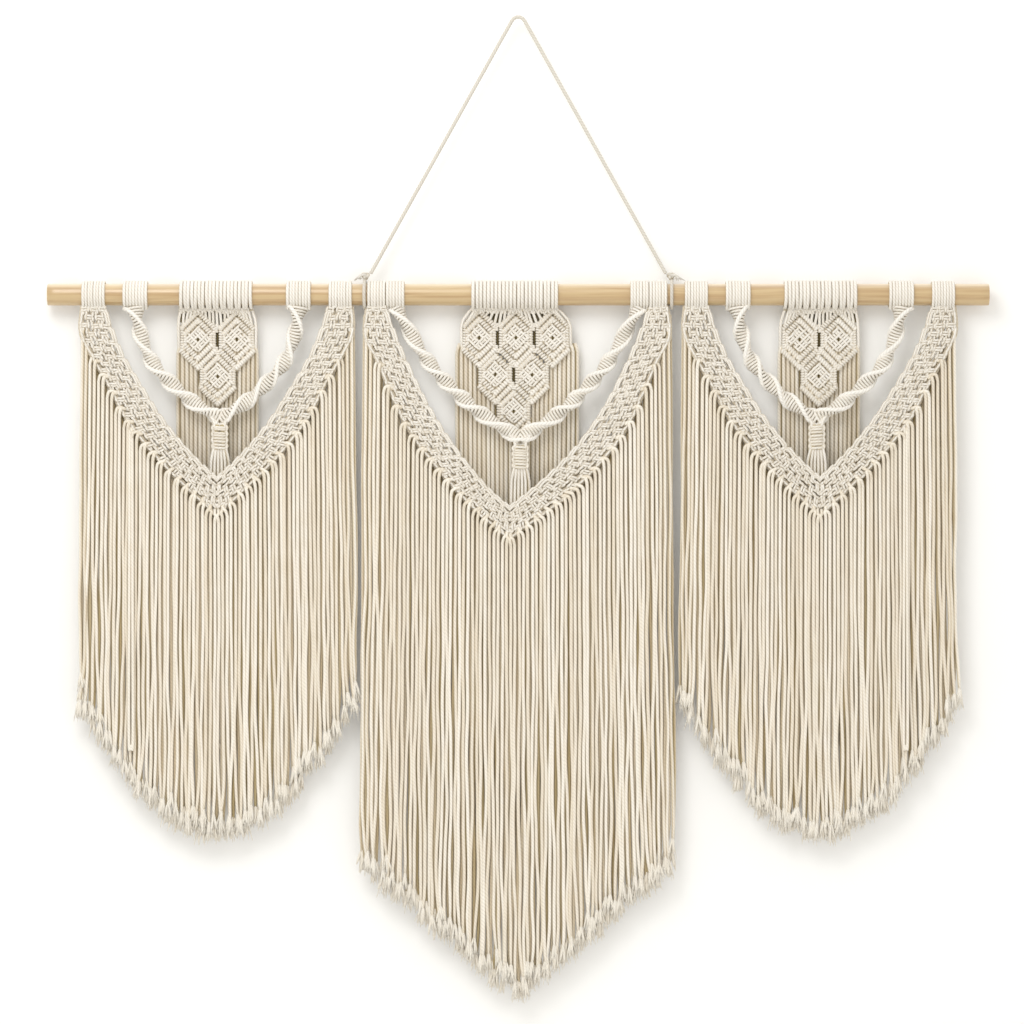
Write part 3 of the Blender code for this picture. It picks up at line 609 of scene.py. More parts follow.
def frayed(ends, heading, radius, rng, plies=5, fibres=8, reach=20.0, dark=0.0):
    """Combed-out ends: the plies open like a brush and thin fibres spread past them, each
    a cubic that leaves along the cord and bends away to its own side."""
    n = len(ends)
    parts = []
    radius = np.broadcast_to(np.reshape(radius, (-1, 1)), (n, 1))
    fibre = np.full((n, 1), 0.62)
    # where an end has few fibres they are rounder
    fibre_sides = 4 if fibres == plies else 3
    for count, sides, thick, length, spread, form in (
            (plies, 4, radius * 0.62, reach * 0.86, 3.8, (0.85, 1.05, 1.15, 0.95, 0.45)),
            (fibres, fibre_sides, fibre, reach, 5.6, (1.0, 1.0, 0.95, 0.8, 0.4))):
        turn = rng.uniform(0, TAU, (n, 1)) + np.arange(count) * TAU / count
        turn = turn + rng.normal(0, 0.3, (n, count))
        out = rng.uniform(0.45, 1.0, (n, count, 1)) * spread
        sideways = columns(np.cos(turn), np.sin(turn), 0.0)
        far = sideways * out * [1.0, 0.45, 1.0]
        near = sideways * radius[..., None] * 0.45
        down = length * rng.uniform(0.75, 1.15, (n, count, 1)) * heading[:, None, :]
        base = ends[:, None, :] - 3.0 * heading[:, None, :]
        bend = rng.normal(0, 0.6, (n, count, 3)) * [1.0, 0.5, 0.4]
        controls = np.stack([
            base + near * 0.8,
            base + near * 1.3 + 0.3 * down + 0.1 * far,
            base + near + far * 0.55 + 0.7 * down + bend,
            base + near + far + 1.15 * down + 1.6 * bend,
        ], axis=2).reshape(n * count, 4, 3)
        taper = thick.repeat(count, axis=0) * np.array(form)
        parts.append(tubes(through(controls, 5), taper, sides,
                           tint=rng.uniform(0, 0.2, n * count), tip=0.2, face=None, dark=dark))
    return parts


def open_side(panel, x, forth):
    """Face of each cord of a row, the side kept free of painted shade: forwards or backwards, and
    outwards for the outer ones.
    """
    out = panel.hand * np.sign(x) * 1.3 * (np.abs(x) / np.abs(x).max()) ** 14
    return unit(columns(out, forth, 0.0))


def hanging_strands(panel, x, starts, y, ends, radius, points, sides, rng, drift=1.3,
                    flare=FLARE, forth=-1.0, dark=0.0, brush=(5, 8)):
    """Cords that hang straight from their roots and drift sideways a little, and the
    frayed end of each. starts are the root paths (n, k, 3) as panel places; brush counts
    the plies and fibres of an end."""
    n = len(x)
    length = ends - starts[:, -1, 2]
    s = np.linspace(0, 1, points)[1:]
    drop = starts[:, -1:, 2] + s * length[:, None]
    sway = waves(rng, n, points, drift, length)[:, 1:]
    tail = np.clip(1 - (1 - s) * length[:, None] / 50.0, 0, 1) ** 2 * rng.normal(0, 1.7, (n, 1))
    place_x = x[:, None] + (x * flare - x)[:, None] * s + sway + tail
    depth = (y + waves(rng, n, points, drift * 0.4, length)[:, 1:]
             + (starts[:, -1:, 1] - y) * (1 - s) ** 6)
    local = np.concatenate([starts, columns(place_x, depth, drop)], axis=1)
    world = placed(panel, *np.moveaxis(local, -1, 0))
    taper = np.ones(local.shape[1])
    taper[-2:] = (0.93, 0.74)
    # painted shade on the side of each cord that turns away from its open side
    skin = tubes(world, radius * taper, sides, tint=rng.uniform(0, 1, n),
                 face=open_side(panel, x, forth), dark=dark)
    heading = unit(world[:, -1] - world[:, -3])
    # painted shade: the combed-out ends of a row that faces backwards are a little darker
    end_dark = 0.1 if forth > 0 else 0.0
    return [skin, *frayed(world[:, -1], heading, radius, rng, *brush, dark=end_dark)]


def band_fringe(panel, rear, rng):
    """Fringe from the band's lower edge. In front the cords leave the band in pairs, run
    outwards one above the other and turn down; the rear row hangs from behind the band,
    half a pitch aside."""
    kind = panel.kind
    n = 2 * int(kind.strands * 0.59)
    pitch = kind.strands * kind.pitch / n
    if rear:
        # towards a neighbouring panel one more cord shows in the gap
        x = np.arange(-n // 2 if kind is CENTRE else 1 - n // 2, n // 2 + 1) * pitch
        n = len(x)
    else:
        x = (np.arange(n) + 0.5 - n / 2) * pitch
        x = x + np.clip(rng.normal(0, 0.4, n), -0.8, 0.8)
    lean = tip_lean(kind, x)
    away = np.abs(x - lean)
    side = np.where(x < lean, -1.0, 1.0)
    order = np.floor((n / 2 * pitch - away) / pitch).astype(int)
    upper = (order % 2 == 0) & (order > 1) & (away > pitch) & (not rear)
    root = np.where(upper, away - pitch, away)
    t = np.linspace(0, 1, 801)
    rows = curve(kind.edges, t)
    widest = rows[:, 0].argmax()
    edge = curve(kind.edges, np.interp(-root, -rows[widest:, 0], t[widest:]))
    # the outermost cords leave the band higher than its widest place
    low = edge[:, 1] - 17.0 * np.exp(-order / 1.5)
    # root paths as (away from the middle, drop, y)
    if rear:
        aside, down, y = np.array([[-0.5, -9.0, -2.6], [0.0, -2.0, -2.8], [0.0, 5.0, -3.8]]).T
        starts = columns(away[:, None] + aside, low[:, None] + down, y)
    else:
        ahead = unit(edge[:, 2:] - edge[:, :2])
        over = upper * rng.uniform(0.7, 1.25, n)
        flat = np.stack([
            columns(root, low) + ahead * 7.0,
            columns(root, low) + ahead * 1.6 + columns(0.0, over * -1.6),
            columns(root - 1.6 + 3.0 * over, low + 0.8 - 2.0 * over),
            columns(away - 0.6 - 0.8 * over, low + 4.0 - 3.2 * over),
            columns(away, low + 10.0 - 3.2 * over),
        ], 1)
        # the outermost ones come out from behind the band, the others from over its loops
        depth = np.where((order < 3)[:, None], [-7.0, -8.0, -8.4, -8.6, -8.6],
                         [-9.5, -12.6, -13.6, -13.0, -10.6])
        starts = through(np.concatenate([flat, depth[..., None]], -1), 10)
    out, drop, y = np.moveaxis(starts, -1, 0)
    starts = columns(side[:, None] * np.maximum(out, 0) + lean[:, None], y, drop)
    ends = hem_drop(kind, x) - BRUSH - rng.beta(1.3, 2.2, n) * (16.0 if rear else 27.0)
    radius = rng.uniform(1.95, 2.25, (n, 1))
    if rear:
        # painted shade on the front of the rear row, a little more or less from cord to cord
        return hanging_strands(panel, x, starts, REAR_FRINGE_Y, ends, radius + 0.35, 20, 6, rng,
                               drift=0.9, forth=1.0, dark=rng.uniform(-0.5, 0.1, n), brush=(4, 4))
    parts = hanging_strands(panel, x, starts, FRINGE_Y, ends, radius, 34, 8, rng)
    if kind is SIDE:
        # one cord was never cut open at its end and hangs as a loop
        v = np.array([0.0, 0.04, 0.5, 0.97, 1.0, 0.97, 0.5, 0.04, 0.0])
        gap = np.array([-1.4, -1.5, -1.9, -2.3, 0.0, 2.3, 1.9, 1.5, 1.4])
        depth = FRINGE_Y + np.array([0.5, -2.6, -3.6, -3.8, -3.4, -3.8, -3.6, -2.6, 0.5])
        path = through(placed(panel, -100.0 + gap, depth, 158.0 + 368.0 * v)[None], 90)
        parts.append(tubes(path, 1.9, 8, tint=0.2))
    return parts


def sinnet_frame(panel, side, s):
    """Middle of a sinnet at shares s of its length, with the directions along and across
    it; both lie in the plane of the panel."""
    rows = panel.kind.sinnet
    here = curve(rows, s)
    step = unit(curve(rows, np.minimum(1, s + 0.01)) - curve(rows, np.maximum(0, s - 0.01)))
    middle = placed(panel, side * here[..., 0] + MEETING_X * s, SWAG_Y + SWAG_FORWARD * s,
                    here[..., 1])
    hand = side * panel.hand
    along = columns(hand * step[..., 0], 0.0, -step[..., 1])
    across = columns(step[..., 1], 0.0, hand * step[..., 0])
    return middle, along, across


def sinnet_turn(panel, side, s):
    """Angle of the rings at shares s of a sinnet: odd quarter turns fall on the narrow
    places. Both sinnets of a side panel wind the same way; the centre ones mirror."""
    narrows = panel.kind.narrows
    last = len(narrows) - 0.5
    ends = last + (1 - narrows[-1]) / (narrows[-1] - narrows[-2])
    turns = np.interp(s, [0, *narrows, 1], [-0.05, *(np.arange(len(narrows)) + 0.5), ends])
    return (panel.hand if panel.kind is SIDE else -side) * math.pi * turns


def sinnet(panel, side, rng):
    """Half-knot spiral: rings that are flat ellipses across the sinnet, each turned a
    little further than the last, and two cords that follow their long ends."""
    fine = np.linspace(0, 1, 600)
    run = lengths(sinnet_frame(panel, side, fine)[0])
    # the first knots are as wide as the tab
    spread = (panel.kind.swag_tab.width / 2 - 1.7) / RING_WIDE - 1

    def rings(s, lead=0.0):
        """Middles, directions along, half axes and widths of rings at shares s."""
        middle, along, across = sinnet_frame(panel, side, s)
        turn = (sinnet_turn(panel, side, s) + lead)[:, None]
        slim = (1 + spread * np.exp(-s * run[-1] / 9.0))[:, None]
        long_axis = across * np.cos(turn) + BACK * np.sin(turn)
        return middle, along, long_axis, -across * np.sin(turn) + BACK * np.cos(turn), slim

    count = int(run[-1] / RING_PITCH)
    s = np.interp((np.arange(count) + 0.5) / count * run[-1], run, fine)
    middle, along, wide, deep, slim = rings(s)
    psi = np.linspace(0, TAU * 1.03, 13)[:, None]
    ring = (wide[:, None] * (RING_WIDE * np.cos(psi)) + deep[:, None] * (RING_DEEP * np.sin(psi)))
    ring = ring * slim[:, None]
    # painted shade where a ring's cord faces in towards the middle of the sinnet
    parts = [tubes(middle[:, None] + ring + along[:, None] * (1.1 * np.sin(psi)), 1.75, 6,
                   tint=rng.uniform(0, 0.8, count), face=unit(ring))]
    # the two cords lie a little ahead of the rings' ends and swell at every second knot
    lead = 0.42 * np.sign(sinnet_turn(panel, side, s)[-1])
    s = np.linspace(0.0, 1.0, 150)
    middle, _, wide, _, slim = rings(s, lead)
    swell = (1 + 0.04 * np.cos(TAU * s * count / 2))[:, None]
    for end in (-1, 1):
        path = middle + end * wide * ((RING_WIDE + 0.2) * swell * slim)
        parts.append(tubes(path[None], 2.45, 8, tint=0.0, face=None))
    return parts


def meeting(panel, rng):
    """Cords of the two sinnets that bend down into the gathering knot."""
    n = 8
    order = (np.arange(n) // 2)[:, None]
    out = np.where(np.arange(n) % 2, 1.0, -1.0)[:, None] * (11.0 - 2.2 * order)
    x = out * [1.15, 0.85, 0.6, 0.5, 0.45] + MEETING_X
    drop = panel.kind.gather_top + np.array([-14, -9, -4, 2, 10]) + order * [1, 1, 0, 0, 0]
    y = GATHER_Y + (np.array([-1.0, -3.4, -3.6, -2.8, -2.0]) + order * [-0.8, 1, 1, 1, 1])
    return tubes(through(placed(panel, x, y, drop), 12), 2.1, 7, tint=rng.uniform(0, 0.6, n))


def gathering(panel, rng):
    """Gathering knot: a column of square knots round the cords of both sinnets. Bars lie
    on an ellipse in front and behind, x = 7.6 sin a and y = 6 cos a; loops bulge at the
    sides as half a sine, and four thick fillers close the middle."""
    top, bottom = panel.kind.gather_top, panel.kind.gather_bottom
    count = 4
    height = (bottom - top) / count
    parts = []
    u = np.linspace(-1, 1, 9)
    v = np.linspace(0, 1, 7)
    bulge = np.sin(math.pi * v)
    # painted shade: bars and loops are a little darker all over and more on the side that faces
    # into the knot, the fillers on their front
    for facing in (-1.0, 1.0):
        drop = top + (np.arange(2 * count)[:, None] + 0.5) * height / 2
        drop = drop + 0.5 * u + rng.normal(0, 0.35, (2 * count, 1))
        x = MEETING_X + 7.6 * np.sin(1.1 * u)
        bars = placed(panel, x, GATHER_Y + facing * 6.0 * np.cos(1.1 * u), drop)
        parts.append(tubes(bars, 1.7, 7, tint=rng.uniform(0, 1, 2 * count),
                           face=(0, facing, 0), dark=0.15))
        for side in (-1.0, 1.0):
            drop = top + (np.arange(count)[:, None] + 0.04 + 0.92 * v) * height
            loops = placed(panel, MEETING_X + side * (6.9 + 1.9 * bulge),
                           GATHER_Y + facing * (2.4 + 0.7 * bulge), drop)
            parts.append(tubes(loops, 1.7, 7, tint=rng.uniform(0, 1, count),
                               face=(0, facing, 0), dark=0.15))
    x = MEETING_X + np.array([-3.2, 3.2, -3.2, 3.2])[:, None]
    y = GATHER_Y + np.array([-2.4, -2.4, 2.4, 2.4])[:, None]
    parts.append(tubes(placed(panel, x, y, np.linspace(top, bottom, 5)), 3.3, 8, face=BACK))
    return parts


def tassel_cords(panel, rng):
    """Cords of the tassel: from inside the gathering knot, a little wider below it, then
    straight down behind the band."""
    top, bottom = panel.kind.gather_top, panel.kind.gather_bottom
    n = 11
    share = (np.arange(n) - (n - 1) / 2) / (n / 2)
    behind = np.arange(n) % 2
    starts = columns(
        MEETING_X + share[:, None] * TASSEL_HALF * [0.42, 0.5, 0.62, 0.8, 0.95],
        GATHER_Y + np.array([-0.5, -0.5, -1.5, -0.6, 4.2]) + behind[:, None] * 2.6 - 1.2,
        np.array([top - 2, top + 12, bottom - 2, bottom + 5, bottom + 14]))
    ends = panel.kind.tassel_end + rng.uniform(-22, -8, n)
    # painted shade on the cords of the back row
    return hanging_strands(panel, MEETING_X + share * TASSEL_HALF, starts,
                           TASSEL_Y - 1.2 + 2.6 * behind[:, None], ends, 1.8, 30, 7, rng,
                           drift=0.6, flare=1.0, dark=1.1 * behind, brush=(4, 5))


def cell_places(kind):
    """Places (x, drop) of a motif's diamonds, row by row."""
    return [
        ((k - (count - 1) / 2) * kind.cell_pitch + shift, kind.first_cell + row * CELL_ROW_PITCH)
        for row, (count, shift) in enumerate(zip(kind.cell_rows, kind.cell_shift))
        for k in range(count)
    ]


def ring_height(kind):
    """Half the height of the ring that a diamond shares with its lower neighbours."""
    return (kind.cell_pitch / 2 + CELL_ROW_PITCH) / 2


def motif_hem(kind, x):
    """Drop of the lowest cell edge over each x."""
    half = (kind.cell_pitch - CELL_SLIT) / 2
    lowest = np.full(np.shape(x), kind.first_cell + 15.0)
    for cell_x, drop in cell_places(kind):
        away = np.abs(x - cell_x)
        edge = np.maximum(lowest, drop + ring_height(kind) - away)
        lowest = np.where(away <= half + 1, edge, lowest)
    return lowest


def hitches(panel, start, end, reach, lift, pitch, radius, rng):
    """Clove hitches along a bar from start to end (x, drop): arches across the bar, each
    half an ellipse that rises from behind one side of it and ends behind the other."""
    start, end = np.array(start, float), np.array(end, float)
    run = np.linalg.norm(end - start)
    count = max(2, int(round(run / pitch)))
    along = (end - start) / run
    across = np.array([along[1], -along[0]])
    s = (np.arange(count) + 0.5) / count * run
    psi = np.linspace(-0.62, 0.62, 7) * math.pi
    u = reach * np.sin(psi)
    skew = 0.35 * np.sin(psi)
    flat = (start + along * s[:, None])[:, None] + across * u[:, None] + along * skew[:, None]
    y = MOTIF_Y - lift * np.cos(psi) + rng.normal(0, 0.12, (count, 1))
    paths = placed(panel, flat[..., 0], y, flat[..., 1])
    return tubes(paths, radius, 5, tint=rng.uniform(0.1, 0.9, count))


def hexagon(x, drop, wide, high):
    """Corners, from the top round to the left, of a diamond with slopes of 45 degrees
    whose side corners are cut to upright sides."""
    cut = high - wide
    return np.array([(x, drop - high), (x + wide, drop - cut), (x + wide, drop + cut),
                     (x, drop + high), (x - wide, drop + cut), (x - wide, drop - cut)])


def woven(panel, x, drop, rng):
    """Middle of a diamond: short arches on a grid of seven by seven that stands on its
    corner. Those beside the middle lie along its sides, the rest along either diagonal;
    the middle one, the lowest and one more are left out."""
    i, j = (a.ravel() for a in np.meshgrid(np.arange(-3, 4), np.arange(-3, 4)))
    gap = ((0, -3), (3, 0), (-3, 1), (-1, 3))[rng.integers(4)]
    keep = ((i != 0) | (j != 0)) & ((i != 3) | (j != 3)) & ((i != gap[0]) | (j != gap[1]))
    i, j = i[keep], j[keep]
    centre = columns(i - j, i + j) * WEAVE_PITCH * math.sqrt(0.5)
    falls = np.where((i + j) % 2, j % 2 == 0, rng.random(len(i)) < 0.5)
    along = np.where(falls[:, None], [-1.0, 1.0], [1.0, 1.0]) * math.sqrt(0.5)
    v = np.linspace(-1, 1, 6)
    flat = centre[:, None] + along[:, None] * (v * WEAVE_PITCH * 0.72)[:, None]
    flat = flat + rng.normal(0, 0.2, (len(i), 1, 2))
    rise = 1.7 * np.cos(v * math.pi / 2) ** 0.7 - 0.5 + rng.normal(0, 0.2, (len(i), 1))
    paths = placed(panel, x + flat[..., 0], MOTIF_Y - rise, drop + flat[..., 1])
    return tubes(paths, WEAVE_PITCH * 0.53, 5, tint=rng.uniform(0.0, 0.9, len(i)))


def cell(panel, x, drop, rng):
    """Diamond of the motif: an outer ring, shared with the diamonds below, an inner ring
    and a woven middle. Sides that fall to the left are firm rolls of close hitches, the
    others rows of finer hitches; short upright rows stand at the slits."""
    high = ring_height(panel.kind)
    wide = (panel.kind.cell_pitch - CELL_SLIT) / 2 - 2.1
    parts = [woven(panel, x, drop, rng)]
    for half, tall, lift in ((wide, high, 1.6), (wide - 3.9, high - 10.4, 1.3)):
        spots = hexagon(x, drop, half, tall)
        for k in range(6):
            if k in (0, 5) and tall == high and drop > panel.kind.first_cell:
                # made by the diamonds above
                continue
            start, end = spots[k], spots[(k + 1) % 6]
            reach, raised, pitch, radius = (FINE, UPRIGHT, ROLL)[k % 3]
            if k % 3 == 1:
                shift = back = np.array([np.sign(x - start[0]) * 0.6, 0.0])
            else:
                # neighbouring sides meet in a full corner
                shift = unit(end - start) * 2.0
                back = -shift
            parts.append(hitches(panel, start + back, end + shift, reach, lift + raised, pitch,
                                 radius, rng))
    # floats behind the bars, with painted shade where they face the gaps
    lanes = np.linspace(-15.0, 15.0, 8)[:, None]
    tall = high - 4.0 - np.abs(lanes)
    paths = placed(panel, x + lanes, FLOAT_Y - 1.8, drop + tall * np.linspace(-1, 1, 5))
    parts.append(tubes(paths, 2.3, 6, tint=rng.uniform(0.4, 1.0, len(lanes)), face=BACK,
                       dark=-0.3))
    # painted shade: a short cord with full painted shade sits in the hole in the middle, so that it
    # looks deep
    path = placed(panel, x, MOTIF_Y + 0.8, drop + np.array([-1.9, 0.0, 1.9]))
    parts.append(tubes(path[None], 1.5, 6, face=BACK, dark=1.0))
    return parts


def heading_cords(panel, rng):
    """Cords that come down from the motif's tab and go behind the first diamonds, small
    knots over them, and floats with painted shade behind the gaps and the slits."""
    kind, tab = panel.kind, panel.kind.motif_tab
    places = cell_places(kind)
    cells = np.array([x for x, drop in places if drop == kind.first_cell])
    n = tab.turns + 1
    share = (np.arange(n) + 0.5) / n * 2 - 1
    x = tab.x + tab.width / 2 * share
    foot_x = cells.mean() + (np.ptp(cells) / 2 + kind.cell_pitch / 2 + 2.4) * share
    near = np.abs(foot_x[:, None] - cells).min(1)
    foot = np.maximum(kind.first_cell - ring_height(kind) - 4.6 + near, 18.0)
    # the outermost cords run down beside the first diamonds
    foot[[0, -1]] = kind.first_cell + 8.0
    v = np.array([0.0, 0.35, 0.8, 1.0])
    sideways = np.tile(v, (n, 1))
    sideways[[0, -1]] = (0.0, 0.9, 1.0, 1.0)
    top = 14.8
    paths = placed(panel,
                   x[:, None] + (foot_x - x)[:, None] * sideways + rng.normal(0, 0.3, (n, 4)),
                   np.array([1.8, 1.6, 3.2, 7.5]) + rng.normal(0, 0.3, (n, 1)),
                   top + (foot[:, None] + 4.5 - top) * v)
    parts = [tubes(through(paths, 8), 1.8, 6, tint=rng.uniform(0, 0.8, n))]
    # one small knot on each pair of cords
    wide, tall = 8.4, 6.0
    pairs = x[:n // 2 * 2].reshape(-1, 2).mean(1)
    parts += square_knots(columns(pairs / wide, 0.0), lambda across, along, lift: placed(
        panel, across * wide, 1.0 - 1.3 * lift, 16.6 + along * tall), rng)
    # floats with painted shade behind the gaps
    lanes = np.arange(x[0], x[-1], 4.1)
    paths = placed(panel, lanes[:, None], FLOAT_Y - 1.0, np.array([13.0, 22.0, 32.0]))
    parts.append(tubes(paths, 2.2, 6, tint=0.8, face=BACK, dark=0.7))
    for (cell_x, drop), (next_x, next_drop) in zip(places, places[1:]):
        if drop != next_drop:
            continue
        slit = (cell_x + next_x) / 2
        # a float with full painted shade behind the slit
        path = placed(panel, slit, FLOAT_Y, drop + np.linspace(-13, 13, 4))
        parts.append(tubes(path[None], 2.3, 6, face=BACK, dark=1.0))
        # the slit narrows to both ends, where hitches of the two diamonds meet over it
        for far, near_by, reach, aside in ((17.5, 12.5, 2.9, 0.0), (12.5, 8.6, 1.2, 1.2)):
            for way in (-1, 1):
                start, end = ((slit - aside, drop + way * place) for place in (far, near_by))
                parts.append(hitches(panel, start, end, reach, 0.9, *SLIT_END, rng))
    return parts


def back_cords(panel, rear, rng):
    """Cords that hang from the cells' lower bars, behind the swag and the fringe, in two
    rows that are half a pitch apart; rear is 0 or 1."""
    kind = panel.kind
    wide = kind.back_strands * kind.back_pitch
    n = round(wide / 5.2) - rear
    x = (np.arange(n) + 0.5 - n / 2) * (wide / (n + rear))
    starts = columns(x[:, None] - np.sign(x)[:, None] * np.array([3.2, 1.2, 0.2, 0.0]),
                     np.array([6.2, 5.6, 7.2, 9.6]) + 2.5 * rear,
                     motif_hem(kind, x)[:, None] + np.array([-8.0, -3.5, 1.0, 7.0]))
    ends = kind.back_end + rng.uniform(-22, -8, n)
    # painted shade on the front of the rear row, a little more or less from cord to cord
    return hanging_strands(panel, x, starts, BACK_CORD_Y + 3.2 * rear, ends, 2.4, 18, 6, rng,
                           drift=0.9, flare=1.0, forth=1.0 if rear else -1.0,
                           dark=rng.uniform(-0.3, 0.2, n) * rear, brush=(4, 4))


def cord_path(count):
    """Evenly spaced points of the hanging cord's route, and its length."""
    route = CORD_ROUTE + [(-x, z) for x, z in CORD_ROUTE[-2::-1]]
    fine = curve(route, np.linspace(0, 1, 3001))
    run = lengths(fine)
    s = np.linspace(0, run[-1], count)
    path = columns(np.interp(s, run, fine[:, 0]), 0.0, np.interp(s, run, fine[:, 1]))
    return path, run[-1]


def cord_knot(side, rng):
    """The hanging cord's turn round the dowel, the overhand knot that ties it and the
    short frayed tail. The knot is a trefoil: its path winds twice round the cord while it
    swings three times in and out."""
    theta = np.linspace(0, TAU * 1.02, 40)
    turn = columns(side * TURN_X + 0.5 * np.sin(theta), TURN_RADIUS * np.sin(theta),
                   -AXIS_DROP + TURN_RADIUS * np.cos(theta))
    w = np.linspace(0, TAU, 46)
    knot = columns(side * KNOT_X + 1.25 * (np.sin(w) + 2 * np.sin(2 * w)), -2.6 * np.sin(3 * w),
                   KNOT_Z + 1.05 * (np.cos(w) - 2 * np.cos(2 * w)))
    tail = through([[
        (side * (KNOT_X + out), y, KNOT_Z + up)
        for out, y, up in ((0.0, -2.0, 0.0), (3.5, -4.0, 1.0), (6.5, -4.8, -0.5), (8.2, -5.0, -3.0))
    ]], 10)
    heading = unit(tail[:, -1] - tail[:, -2])
    # painted shade: the turn round the dowel is a little darker all over, the knot on its sides and
    # back
    return [
        tubes(turn[None], 2.0, 9, tint=0.2, depth=0.12, face=None, dark=0.2),
        tubes(knot[None], 2.0, 9, tint=0.2, depth=0.12, dark=0.1),
        tubes(tail, 1.8, 8, tint=0.2, depth=0.1, face=None),
        *frayed(tail[:, -1], heading, 1.5, rng, reach=5.0),
    ]


def rod():
    """Skin of the dowel: a profile of (x, radius) points turned round the x axis, with its
    edges broken by half a millimetre. Its tint is a painted highlight on its upper side,
    which grows with the sine of the angle round the rod."""
    x = np.concatenate([[-DOWEL_HALF, -DOWEL_HALF, 0.5 - DOWEL_HALF], np.linspace(-540, 540, 12),
                        [DOWEL_HALF - 0.5, DOWEL_HALF, DOWEL_HALF]])
    radius = np.concatenate([[6.0, DOWEL_RADIUS - 0.5], np.full(14, DOWEL_RADIUS),
                             [DOWEL_RADIUS - 0.5, 6.0]])
    sides = 96
    angle = np.arange(sides) * TAU / sides
    path = columns(x, 0.0, -AXIS_DROP)
    skin = path[:, None] + radius[:, None, None] * columns(0.0, np.cos(angle), np.sin(angle))
    verts = np.concatenate([skin.reshape(-1, 3), path[:1], path[-1:]])
    quad, fan, _, _ = lattice(len(x), sides)
    height = np.append(np.tile(np.sin(angle), len(x)), [0, 0])
    painted_highlight = 0.6 * np.clip((height - 0.45) / 0.5, 0, 1) ** 1.5
    return (verts, quad, fan, np.zeros((quad.size, 2)), np.zeros((fan.size, 2)), painted_highlight,
            np.zeros(len(verts)))


# ---------------------------------------------------------------- settings and operators


def hex_colour(name, default):
    """Property that holds the lightest or darkest colour of a kind of cotton."""
    words = f"{name}est colour of the cotton, sRGB hex"
    return bpy.props.StringProperty(name=name, description=words, default=default)


class HangingSettings(bpy.types.PropertyGroup):
    """Sizes and colours of the hanging that a maker would change."""

    cord: bpy.props.FloatProperty(
        name="Cord", description="Thickness of the hanging cord in millimetres",
        default=4.2, min=3.5, max=4.8)
    lay: bpy.props.FloatProperty(
        name="Lay", description="Length in millimetres in which a ply goes round the cord once",
        default=13.0, min=6.0, max=30.0)
    knots_light: hex_colour("Knots, light", "#FDFAF4")
    knots_dark: hex_colour("Knots, dark", "#F1EBE0")
    fringe_light: hex_colour("Fringe, light", "#FEFAF1")
    fringe_dark: hex_colour("Fringe, dark", "#E9DECA")
    cord_light: hex_colour("Cord, light", "#E5E1D9")
    cord_dark: hex_colour("Cord, dark", "#D7D2C8")
    key_power: bpy.props.FloatProperty(
        name="Key light", description="Power of the soft main light in watts",
        default=19.0, min=0.0, unit="POWER")
    seed: bpy.props.IntProperty(
        name="Seed", description="Start of the random draws for drift, tint and fraying",
        default=4, min=0)


class MACRAME_OT_hanging_cord(bpy.types.Operator):
    """Adds the twisted hanging cord and its two end knots"""

    bl_idname = "macrame.hanging_cord"
    bl_label = "Hanging cord"

    def execute(self, context):
        diameter = context.scene.hanging.cord
        path, length = cord_path(520)
        # painted shade on the cord's sides and back
        skin = tubes(path[None], diameter / 2, 12, tint=0.2, depth=0.16, dark=0.1)
        cord = add_piece("hanging_cord_twist", [skin], "cord", "hanging_cord")
        for k, (side, word) in enumerate(((-1, "left"), (1, "right"))):
            add_piece(f"cord_knot_{word}", cord_knot(side, draws(k)), "cord",
                                   f"hanging_knot_{word}")
        return {"FINISHED"}


class MACRAME_OT_dowel(bpy.types.Operator):
    """Adds the round pine dowel"""

    bl_idname = "macrame.dowel"
    bl_label = "Dowel"

    def execute(self, context):
        add_piece("pine_dowel", [rod()], "pine", "dowel")
        return {"FINISHED"}


class MACRAME_OT_curtains(bpy.types.Operator):
    """Adds each panel's V band with its tabs, and its long fringe"""

    bl_idname = "macrame.curtains"
    bl_label = "V bands and fringe"

    def execute(self, context):
        for k, panel in enumerate(PANELS):
            rng = draws(10 + k)
            node = f"curtain_{panel.name}"
            parts = []
            for side in (-1, 1):
                parts += band_knots(panel, side, rng)
                parts.append(tab_wraps(panel, panel.kind.band_tab, side, 0.54, -8.5, rng))
            add_piece(f"v_band_{panel.name}", parts, "knots", node)
            add_piece(f"fringe_{panel.name}", band_fringe(panel, False, rng), "fringe", node)
            add_piece(f"rear_fringe_{panel.name}", band_fringe(panel, True, rng), "fringe", node)
        return {"FINISHED"}


class MACRAME_OT_swags(bpy.types.Operator):
    """Adds each panel's two spiral sinnets and their tabs"""

    bl_idname = "macrame.swags"
    bl_label = "Spiral sinnets"

    def execute(self, context):
        for k, panel in enumerate(PANELS):
            rng = draws(20 + k)
            parts = [meeting(panel, rng)]
            for side in (-1, 1):
                parts += sinnet(panel, side, rng)
                parts.append(tab_wraps(panel, panel.kind.swag_tab, side, 0.54, -5.5, rng))
            add_piece(f"sinnets_{panel.name}", parts, "knots", f"swag_{panel.name}")
        return {"FINISHED"}


class MACRAME_OT_tassels(bpy.types.Operator):
    """Adds each panel's gathering knot and the tassel below it"""

    bl_idname = "macrame.tassels"
    bl_label = "Tassels"

    def execute(self, context):
        for k, panel in enumerate(PANELS):
            rng = draws(30 + k)
            node = f"tassel_{panel.name}"
            add_piece(f"gathering_knot_{panel.name}", gathering(panel, rng), "knots", node)
            add_piece(f"tassel_cords_{panel.name}", tassel_cords(panel, rng), "knots", node)
        return {"FINISHED"}


